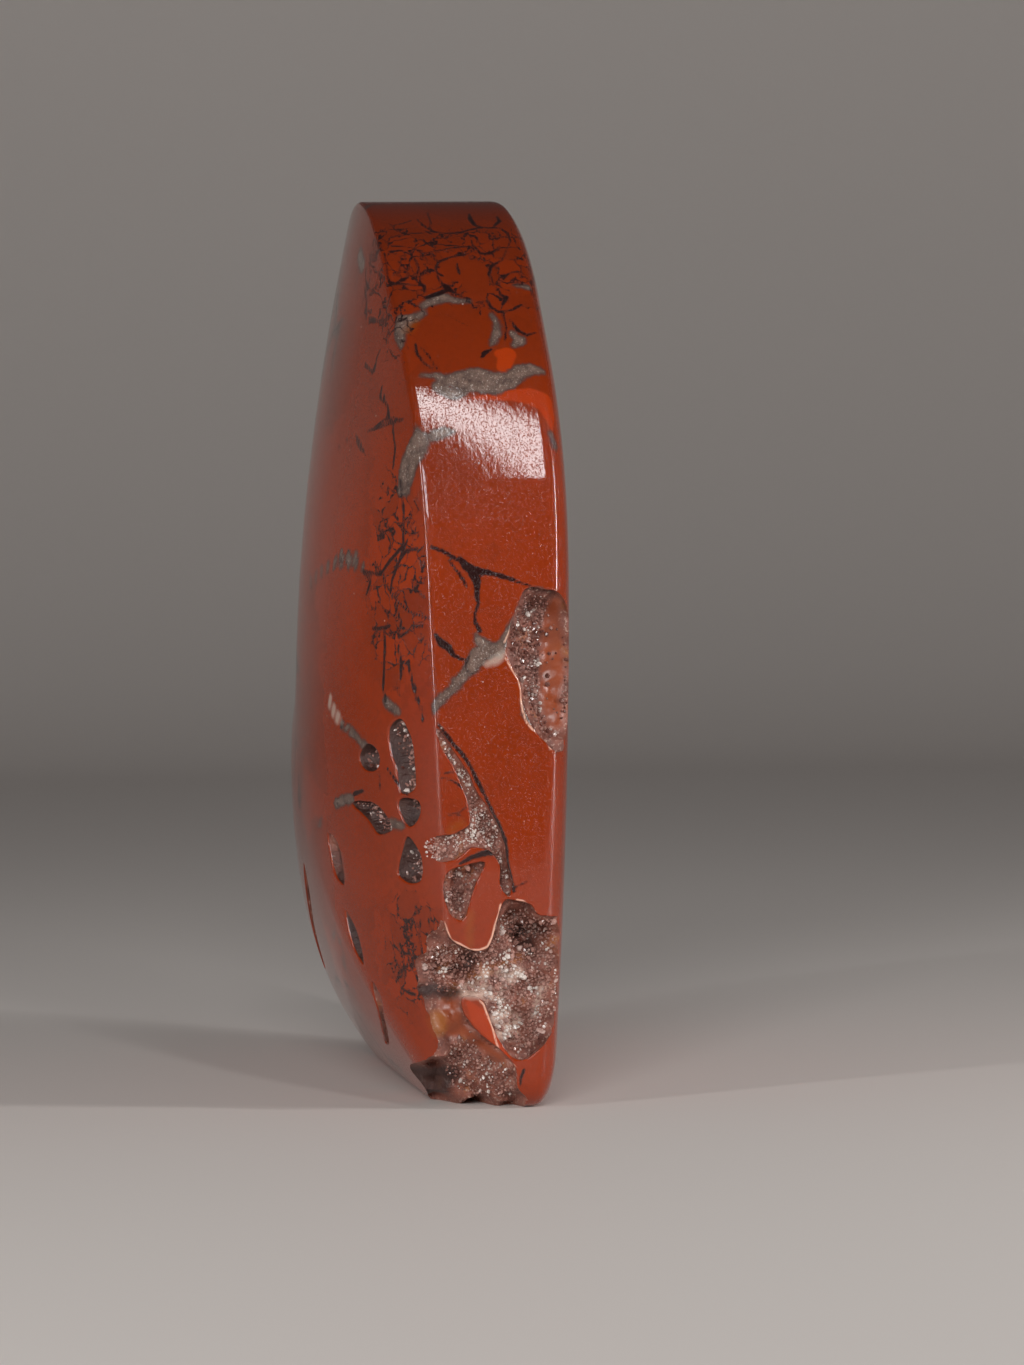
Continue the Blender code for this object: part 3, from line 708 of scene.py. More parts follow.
FACE_PITS = (
    face_pit("round_pit", (
        (7.7, 28.2), (6.5, 29.2), (5.2, 28.6), (5.2, 27.5), (6.4, 27.0), (7.4, 27.4),
    ), 1.5),
    face_pit("long_pit", (
        (3.7, 30.6), (2.6, 31.3), (1.8, 30.2), (1.5, 27.6), (1.7, 25.7), (2.9, 25.3), (3.3, 27.2),
        (3.8, 28.9),
    ), 1.3),
    face_pit("low_pit", (
        (3.3, 24.7), (2.4, 25.0), (1.3, 24.6), (1.5, 23.3), (2.4, 22.7), (3.1, 23.6),
    ), 1.6),
    face_pit("druse_pit", (
        (2.6, 21.9), (1.5, 20.4), (1.6, 18.5), (2.9, 18.2), (3.8, 18.7), (3.4, 20.4),
    ), 1.4),
    face_pit("elbow_pit", (
        (9.2, 24.3), (6.6, 24.5), (5.0, 23.8), (4.2, 22.5), (5.8, 22.0), (7.2, 23.2),
    ), 1.0),
    face_pit("mid_dent", ((14.4, 21.6), (12.2, 20.6), (11.9, 17.6), (13.4, 18.2)), 0.7),
    face_pit("brown_dent", ((12.2, 15.4), (10.4, 13.6), (10.0, 11.2), (11.6, 12.6)), 0.7),
    face_pit("far_dent", (
        (27.2, 18.4), (30.4, 15.2), (34.8, 10.4), (36.6, 8.8), (34.2, 9.0), (29.2, 13.2), (26.4, 16.6),
    ), 0.8),
    face_pit("low_groove", (
        (8.9, 9.8), (9.6, 7.8), (12.6, 5.4), (14.8, 4.2), (12.2, 4.6), (8.6, 6.8), (7.9, 8.6),
    ), 0.9),
)


@dataclass
class Stone:
    """The polished stone itself: the blank, with its hollows cut and its markings mapped on."""

    form: HeartForm

    def blank(self) -> bpy.types.Object:
        """Models the stone before its hollows, ring by ring from the front middle to the back middle.

        Returns:
            The blank, one closed body.
        """
        rings = self.form.place(self.form.rings)
        front, back = self.form.place(self.form.middles)
        deselect()
        bpy.ops.mesh.primitive_circle_add(vertices=rings.shape[1], radius=MM, fill_type="TRIFAN")
        stone = bpy.context.object
        stone.name = "heart_stone"
        bpy.ops.object.mode_set(mode="EDIT")
        bpy.ops.mesh.select_mode(type="EDGE")
        bm = bmesh.from_edit_mesh(stone.data)
        column = bm.verts.layers.int.new("column")
        fan_middle = min(bm.verts, key=lambda vert: vert.co.length)
        ring = sorted((v for v in bm.verts if v is not fan_middle), key=lambda v: math.atan2(v.co.y, v.co.x))
        for number, vert in enumerate(ring):
            vert[column] = number
            vert.co = rings[0][number]
        fan_middle.co = front
        bpy.ops.mesh.select_all(action="DESELECT")
        bm = bmesh.from_edit_mesh(stone.data)
        for edge in bm.edges:
            edge.select = edge.is_boundary
        for places in rings[1:]:
            bpy.ops.mesh.extrude_region_move()
            bm = bmesh.from_edit_mesh(stone.data)
            set_ring(bm, bm.verts.layers.int["column"], places)
        bpy.ops.mesh.extrude_region_move()
        bpy.ops.mesh.merge(type="CENTER")
        bm = bmesh.from_edit_mesh(stone.data)
        for vert in bm.verts:
            if vert.select:
                vert.co = back
        bpy.ops.mesh.select_all(action="SELECT")
        bpy.ops.mesh.normals_make_consistent(inside=False)
        bpy.ops.object.mode_set(mode="OBJECT")
        return stone

    def cut(self, stone: bpy.types.Object, hollows: tuple[Hollow, ...]) -> None:
        """Cuts a group of hollows that don't meet each other into the stone, and keeps it closed.

        Args:
            stone: the stone.
            hollows: the group.
        """
        cutters = [hollow.cutter(self.form) for hollow in hollows]
        for cutter in cutters:
            for material in stone.data.materials:
                cutter.data.materials.append(material)
        activate(cutters[0])
        for cutter in cutters[1:]:
            cutter.select_set(True)
        if len(cutters) > 1:
            bpy.ops.object.join()
        activate(stone)
        boolean = stone.modifiers.new("hollows", "BOOLEAN")
        boolean.operation = "DIFFERENCE"
        boolean.solver = "EXACT"
        boolean.object = cutters[0]
        bpy.ops.object.modifier_apply(modifier=boolean.name)
        bpy.data.objects.remove(cutters[0])
        bpy.ops.object.mode_set(mode="EDIT")
        bpy.ops.mesh.select_mode(type="VERT")
        bpy.ops.mesh.select_all(action="SELECT")
        bpy.ops.mesh.remove_doubles(threshold=0.000001)
        bpy.ops.mesh.select_all(action="DESELECT")
        bpy.ops.mesh.select_non_manifold(extend=False)
        bpy.ops.mesh.fill_holes(sides=6)
        bpy.ops.object.mode_set(mode="OBJECT")


@dataclass(frozen=True)
class Mark:
    """A marking: the line that it follows on one face, and half its width, in millimetres.

    A point's third number, where it has one, is half the width there.
    """

    kind: Kind
    surface: Surface
    half_width: float
    path: Points

    def half_widths(self) -> np.ndarray:
        """Half the marking's width at each of its points."""
        return np.array([point[2] if len(point) > 2 else self.half_width for point in self.path])

    def inside(self, line: np.ndarray, places: np.ndarray) -> np.ndarray:
        """How far each place lies inside the marking.

        Args:
            line: the marking's points, flat or in space.
            places: the places, in the same coordinates.

        Returns:
            Half the width of the nearest part less the distance to it.
        """
        halves = self.half_widths()
        found = np.full(len(places), -np.inf)
        for index, (start, end) in enumerate(zip(line[:-1], line[1:])):
            edge = end - start
            offset = places - start
            along = np.clip(offset @ edge / max(edge @ edge, 1e-9), 0.0, 1.0)
            half = halves[index] + (halves[index + 1] - halves[index]) * along
            found = np.maximum(found, half - np.linalg.norm(offset - along[:, None] * edge, axis=1))
        return found


def band(kind: Kind, half_width: float, *path: tuple[float, ...]) -> Mark:
    """A marking on the near rim band, along (y, v) points."""
    return Mark(kind, Surface.BAND, half_width, path)


def face(kind: Kind, half_width: float, *path: tuple[float, ...]) -> Mark:
    """A marking on the front face, along (u, v) points."""
    return Mark(kind, Surface.FACE, half_width, path)


def ground(kind: Kind, half_width: float, *path: tuple[float, ...]) -> Mark:
    """A stain of the broken ground, along (y, v) points."""
    return Mark(kind, Surface.GROUND, half_width, path)


def ground_inside(marks: tuple[Mark, ...], kind: Kind, flat: np.ndarray) -> np.ndarray:
    """How far places lie inside the ground's stains of one kind.

    Args:
        marks: all the markings.
        kind: the kind of stain.
        flat: the places, as (y, v).

    Returns:
        Half the width of the nearest stain less the distance to it.
    """
    found = np.full(len(flat), -np.inf)
    for mark in marks:
        if mark.surface is Surface.GROUND and mark.kind is kind:
            found = np.maximum(found, mark.inside(np.array([point[:2] for point in mark.path]), flat))
    return found


@dataclass
class Markings:
    """The stone's markings as attributes of its mesh: how far each vertex lies inside each kind."""

    form: HeartForm
    marks: tuple[Mark, ...]
    reach: float = 2.0
    ground_depth: float = 14.0  # stains of the ground reach this far back from the near side
    crush_wave: float = 0.45  # waves of unevenness per millimetre
    # Where the stone is crushed, each pair being a start or a middle and the length over which it changes:
    # the band's top, from a height, out to a depth and up to a height; the strip of the front face beside
    # its crease, in u, and the strip's two heights; and the front's shoulder, in v and in u
    crushed_top: Points = ((62.6, 3.0), (16.0, 4.0), (73.2, 1.6))
    crushed_crease: tuple[float, float] = (2.6, 4.4)
    crushed_heights: Points = ((42.5, 12.0), (12.0, 7.0))
    crushed_shoulder: Points = ((50.0, 12.0), (5.0, 6.0))
    shoulder_front: float = -3.0  # the shoulder lies in front of this y

    def map_on(self, stone: bpy.types.Object) -> None:
        """Writes an attribute for each kind: half the nearest marking's width less the distance to it.

        Args:
            stone: the cut stone, in place.
        """
        count = len(stone.data.vertices)
        places = np.empty(count * 3)
        stone.data.vertices.foreach_get("co", places)
        uyv = self.form.unplace(places.reshape(-1, 3))
        for kind in Kind:
            inside = np.full(count, -self.reach)
            for mark in self.marks:
                if mark.kind is kind:
                    self.lay(mark, uyv, inside)
            attribute = stone.data.attributes.new(kind.value, "FLOAT", "POINT")
            attribute.data.foreach_set("value", inside)
        u, y, v = uyv.T
        crush = stone.data.attributes.new("crush", "FLOAT", "POINT")
        crush.data.foreach_set("value", self.crushed(u, y, v))

    def lay(self, mark: Mark, uyv: np.ndarray, inside: np.ndarray) -> None:
        """Raises the attribute's values round one marking.

        Args:
            mark: the marking.
            uyv: each vertex's place.
            inside: the attribute's values, which are changed.
        """
        path = np.array([point[:2] for point in mark.path])
        if mark.surface is Surface.GROUND:
            near = np.flatnonzero(uyv[:, 0] < self.ground_depth)
            inside[near] = np.maximum(inside[near], mark.inside(path, uyv[near, 1:]))
            return
        line = self.form.at(mark.surface, path, np.zeros(len(path)))
        if mark.surface is Surface.BAND:
            line[:, 0] = self.form.near_u(path[:, 1])
        room = self.reach + mark.half_widths().max()
        close = (uyv > line.min(axis=0) - room) & (uyv < line.max(axis=0) + room)
        near = np.flatnonzero(close.all(axis=1))
        inside[near] = np.maximum(inside[near], mark.inside(line, uyv[near]))

    def crushed(self, u: np.ndarray, y: np.ndarray, v: np.ndarray) -> np.ndarray:
        """How finely the stone is crushed: most at the top, and on the front face beside its crease.

        Args:
            u: how far back each place lies.
            y: its place through the thickness.
            v: its height.

        Returns:
            0 for whole stone to 1 for the finest crumbs.
        """
        wave = self.crush_wave
        uneven = np.array([noise.noise(Vector((a * wave, b * wave, c * wave))) for a, b, c in zip(u, y, v)])
        (start, rise), (far, fade), (end, fall) = self.crushed_top
        band_top = np.clip((v - start + 2.2 * uneven) / rise, 0.0, 1.0)
        band_top *= np.clip((far - u) / fade, 0.0, 1.0) * np.clip((end - v) / fall, 0.0, 1.0)
        middle, half = self.crushed_crease
        beside = np.exp(-((u - middle) / half) ** 2) * (y < -self.form.front_crease(u, v) - 0.1)
        upper, lower = (
            np.clip(1.0 - np.abs(v - height) / half, 0.0, 1.0) ** 0.6
            for height, half in self.crushed_heights)
        (start, rise), (middle, half) = self.crushed_shoulder
        rising = np.clip((v - start) / rise, 0.0, 1.0) * np.exp(-((u - middle) / half) ** 2)
        rising *= y < self.shoulder_front
        found = np.maximum(band_top, 1.2 * beside * np.maximum(upper, lower)) + 0.7 * rising + 0.25 * uneven
        return np.clip(found, 0.0, 1.0)


def within(loop: np.ndarray, flat: np.ndarray) -> np.ndarray:
    """Whether flat points lie inside a closed loop.

    Args:
        loop: the loop's points.
        flat: the points.

    Returns:
        True for each point inside it.
    """
    found = np.zeros(len(flat), bool)
    a, b = flat[:, 0], flat[:, 1]
    for (a0, b0), (a1, b1) in zip(loop, np.roll(loop, -1, axis=0)):
        if b0 != b1:
            found ^= ((b0 > b) != (b1 > b)) & (a < (a1 - a0) * (b - b0) / (b1 - b0) + a0)
    return found


def clearance(loop: np.ndarray, flat: np.ndarray) -> np.ndarray:
    """Distance from flat points to the nearest part of a closed loop.

    Args:
        loop: the loop's points.
        flat: the points.

    Returns:
        The distance of each point.
    """
    nearest = np.full(len(flat), np.inf)
    for start, end in zip(loop, np.roll(loop, -1, axis=0)):
        edge = end - start
        along = np.clip((flat - start) @ edge / max(edge @ edge, 1e-9), 0.0, 1.0)
        nearest = np.minimum(nearest, np.linalg.norm(flat - start - along[:, None] * edge, axis=1))
    return nearest


@dataclass(frozen=True)
class Growth:
    """Where crystals grow in one hollow, how close together, and how large, in millimetres."""

    hollow: Hollow
    loop: Points | None = None
    spacing: float = 0.25
    radius: tuple[float, float] = (0.07, 0.15)
    milky: float = 0.25
    tone: float = 0.5
    rim_gap: float = 0.12


@dataclass
class Druse:
    """A crust of small pointed quartz crystals that stand on the rough floor of hollows."""

    form: HeartForm
    name: str
    growths: tuple[Growth, ...]
    seed: int = 1
    jitter: float = 0.45  # of the spacing
    bare_inset: float = -0.1  # the smooth orange ground bears few crystals from here inwards
    bare_share: float = 0.12
    patch_wave: float = 0.7
    slope_step: float = 0.12
    slope_share: float = 0.7
    tilt: float = 0.33
    # A crystal's size against the usual one, and how often it comes
    sizes: tuple[float, ...] = (0.75, 1.0, 1.45)
    shares: tuple[float, ...] = (0.45, 0.42, 0.13)
    cloud_waves: tuple[float, float] = (900.0, 2600.0)  # per metre

    def crystal(self) -> tuple[np.ndarray, list[tuple[int, ...]]]:
        """Models one crystal: a six-sided prism of radius 1 with a point, its foot below the ground.

        Returns:
            Its vertices and its faces.
        """
        deselect()
        bpy.ops.mesh.primitive_cylinder_add(vertices=6, radius=1.0, depth=1.9, location=(0.0, 0.0, 0.15))
        model = bpy.context.object
        bpy.ops.object.mode_set(mode="EDIT")
        bpy.ops.mesh.select_mode(type="FACE")
        bpy.ops.mesh.select_all(action="DESELECT")
        bm = bmesh.from_edit_mesh(model.data)
        for side in bm.faces:
            side.select = side.normal.z > 0.9
        bpy.ops.mesh.extrude_region_move(TRANSFORM_OT_translate={"value": (0.0, 0.0, 1.15)})
        bpy.ops.mesh.merge(type="CENTER")
        bpy.ops.object.mode_set(mode="OBJECT")
        bpy.ops.object.transform_apply(location=True)
        places = np.array([vert.co[:] for vert in model.data.vertices])
        faces = [tuple(polygon.vertices) for polygon in model.data.polygons]
        bpy.data.objects.remove(model)
        return places, faces

    def seats(self, growth: Growth, rng: np.random.Generator) -> tuple[np.ndarray, np.ndarray]:
        """Chooses where crystals stand on a hollow's floor.

        Args:
            growth: what grows there.
            rng: the piece's own random numbers.

        Returns:
            The flat points, and the direction out of the floor at each, also flat.
        """
        hollow = growth.hollow
        rim = hollow.smooth_rim()[:, :2]
        loop = rim if growth.loop is None else np.array(growth.loop)
        low, high = loop.min(axis=0), loop.max(axis=0)
        a, b = np.meshgrid(
            np.arange(low[0], high[0], growth.spacing), np.arange(low[1], high[1], growth.spacing))
        flat = np.stack((a.ravel(), b.ravel()), axis=1)
        flat += rng.uniform(-self.jitter, self.jitter, flat.shape) * growth.spacing
        flat = flat[within(loop, flat) & within(rim, flat)]
        flat = flat[clearance(rim, flat) > growth.rim_gap]
        if hollow.surface is Surface.BAND:
            bare = ground_inside(MARKS, Kind.ORANGE, flat)
            flat = flat[(bare < self.bare_inset) | (rng.random(len(flat)) < self.bare_share)]
        wave = self.patch_wave
        patches = np.array([noise.noise(Vector((x * wave, z * wave, 3.0))) for x, z in flat])
        flat = flat[rng.random(len(flat)) < 0.95 + 1.2 * np.minimum(patches + 0.12, 0.0)]
        step = self.slope_step
        slopes = [
            (hollow.depth(flat + shift) - hollow.depth(flat - shift)) / (2.0 * step)
            for shift in (np.array((step, 0.0)), np.array((0.0, step)))
        ]
        outward = np.stack((*slopes, np.ones(len(flat))), axis=1)
        outward[:, :2] *= self.slope_share
        return flat, outward / np.linalg.norm(outward, axis=1)[:, None]

    def build(self) -> bpy.types.Object:
        """Models the crust as one mesh, each crystal with its own size, tilt and milkiness.

        Returns:
            The crust, in place.
        """
        model, sides = self.crystal()
        rng = np.random.default_rng(self.seed)
        places, milk, tints = [], [], []
        for growth in self.growths:
            flat, outward = self.seats(growth, rng)
            depth = growth.hollow.depth(flat)
            seat = self.form.place(self.form.at(growth.hollow.surface, flat, depth))
            if growth.hollow.surface is Surface.BAND:
                up = np.stack((outward[:, 2], outward[:, 0], outward[:, 1]), axis=1)
            else:
                up = np.stack((-outward[:, 0], -outward[:, 2], outward[:, 1]), axis=1)
            up += rng.normal(0.0, self.tilt, up.shape)
            sugar = np.zeros(len(flat))
            if growth.hollow.surface is Surface.BAND:
                sugar = np.clip(ground_inside(MARKS, Kind.MILKY, flat) / 0.4 + 0.7, 0.0, 1.0)
                # crystals in the painted-shade recesses are drawn less milky and darker: painted shade
                sugar -= np.clip(ground_inside(MARKS, Kind.DARK, flat) / 0.5 + 0.5, 0.0, 1.0)
            for middle, axis, white in zip(seat, up, sugar):
                radius = rng.uniform(*growth.radius) * rng.choice(self.sizes, p=self.shares)
                spin = Matrix.Rotation(rng.uniform(0.0, 1.05), 3, "Z")
                turn = Vector(axis).to_track_quat("Z", "Y").to_matrix() @ spin
                size = np.array((radius, radius * rng.uniform(0.8, 1.2), radius * rng.uniform(0.7, 1.25)))
                places.append(middle + (model * size) @ np.array(turn).T * MM)
                slow, fine = (noise.noise(Vector(middle) * wave) for wave in self.cloud_waves)
                cloud = slow + 0.5 * fine
                milky = growth.milky * 1.6 + cloud * 0.9 + rng.uniform(-0.25, 0.25) + 0.42 * white
                milk.append(np.full(len(model), min(max(milky, 0.0), 1.0)))
                tint = growth.tone + rng.uniform(-0.35, 0.35) + 0.3 * min(white, 0.0)
                tints.append(np.full(len(model), min(max(tint, 0.0), 1.0)))
        total = len(places)
        faces = [
            tuple(corner + len(model) * number for corner in side)
            for number in range(total) for side in sides
        ]
        mesh = bpy.data.meshes.new(self.name)
        mesh.from_pydata(np.vstack(places), [], faces)
        for name, values in (("milk", milk), ("tint", tints)):
            attribute = mesh.attributes.new(name, "FLOAT", "POINT")
            attribute.data.foreach_set("value", np.concatenate(values))
        crust = bpy.data.objects.new(self.name, mesh)
        bpy.context.scene.collection.objects.link(crust)
        log.info("%s: %d crystals", self.name, total)
        return crust


SIDE_CRUST = (
    (2.9, 41.2), (4.2, 40.9), (5.5, 39.8), (6.3, 37.6), (6.5, 35.0), (6.3, 32.2), (5.6, 29.8),
    (4.4, 29.6), (3.3, 31.2), (2.7, 32.8), (2.4, 34.2), (1.8, 35.6), (1.4, 36.8), (1.8, 38.4), (2.3, 39.8),
)
TIP_CRUST = (
    (1.2, 16.1), (2.4, 16.0), (3.3, 15.2), (4.8, 15.0), (5.0, 13.0), (4.95, 10.0), (4.7, 7.8),
    (4.0, 6.3), (2.8, 5.0), (1.8, 4.4), (1.3, 4.7), (0.4, 5.8), (-0.1, 6.9), (-0.6, 8.3),
    (-1.1, 9.4), (-3.0, 9.5), (-4.4, 9.4), (-5.5, 10.2), (-5.7, 11.8), (-4.9, 13.4), (-3.9, 13.4),
    (-2.8, 12.9), (-1.7, 12.5), (-0.5, 12.8), (0.1, 14.1), (0.6, 15.6),
)
BASE_CRUST = (
    (-2.6, 7.0), (-1.6, 6.0), (0.2, 4.4), (1.0, 3.2), (1.2, 2.0), (1.3, 1.0), (-0.8, 0.8),
    (-2.2, 1.1), (-3.3, 2.0), (-3.9, 3.6), (-3.7, 5.2),
)
# Each crust of crystals: its name, where it grows, the part's node that it stands for, and its seed
DRUSES = (
    ("side_crystals", (Growth(SIDE_HOLLOW, SIDE_CRUST, milky=0.06, tone=0.35),), "side_druse", 11),
    ("corner_crystals", (
        Growth(CORNER_HOLLOW, spacing=0.22, radius=(0.06, 0.13), milky=0.2, tone=0.55),
    ), "corner_druse", 12),
    ("tip_crystals", (Growth(TIP_HOLLOW, TIP_CRUST, spacing=0.24, milky=0.2, tone=0.75),), "tip_druse", 13),
    ("base_crystals", (
        Growth(TIP_HOLLOW, BASE_CRUST, spacing=0.28, radius=(0.06, 0.14), milky=0.2, tone=0.6),
    ), "base_druse", 14),
    ("seam_crystals", (
        Growth(SEAM_HOLLOW, spacing=0.2, radius=(0.05, 0.11), milky=0.36, tone=0.8),
    ), None, 15),
    ("face_crystals", tuple(
        Growth(pit, spacing=0.24, radius=(0.06, 0.13), milky=0.12, tone=0.45) for pit in FACE_PITS[:5]
    ), None, 16),
)

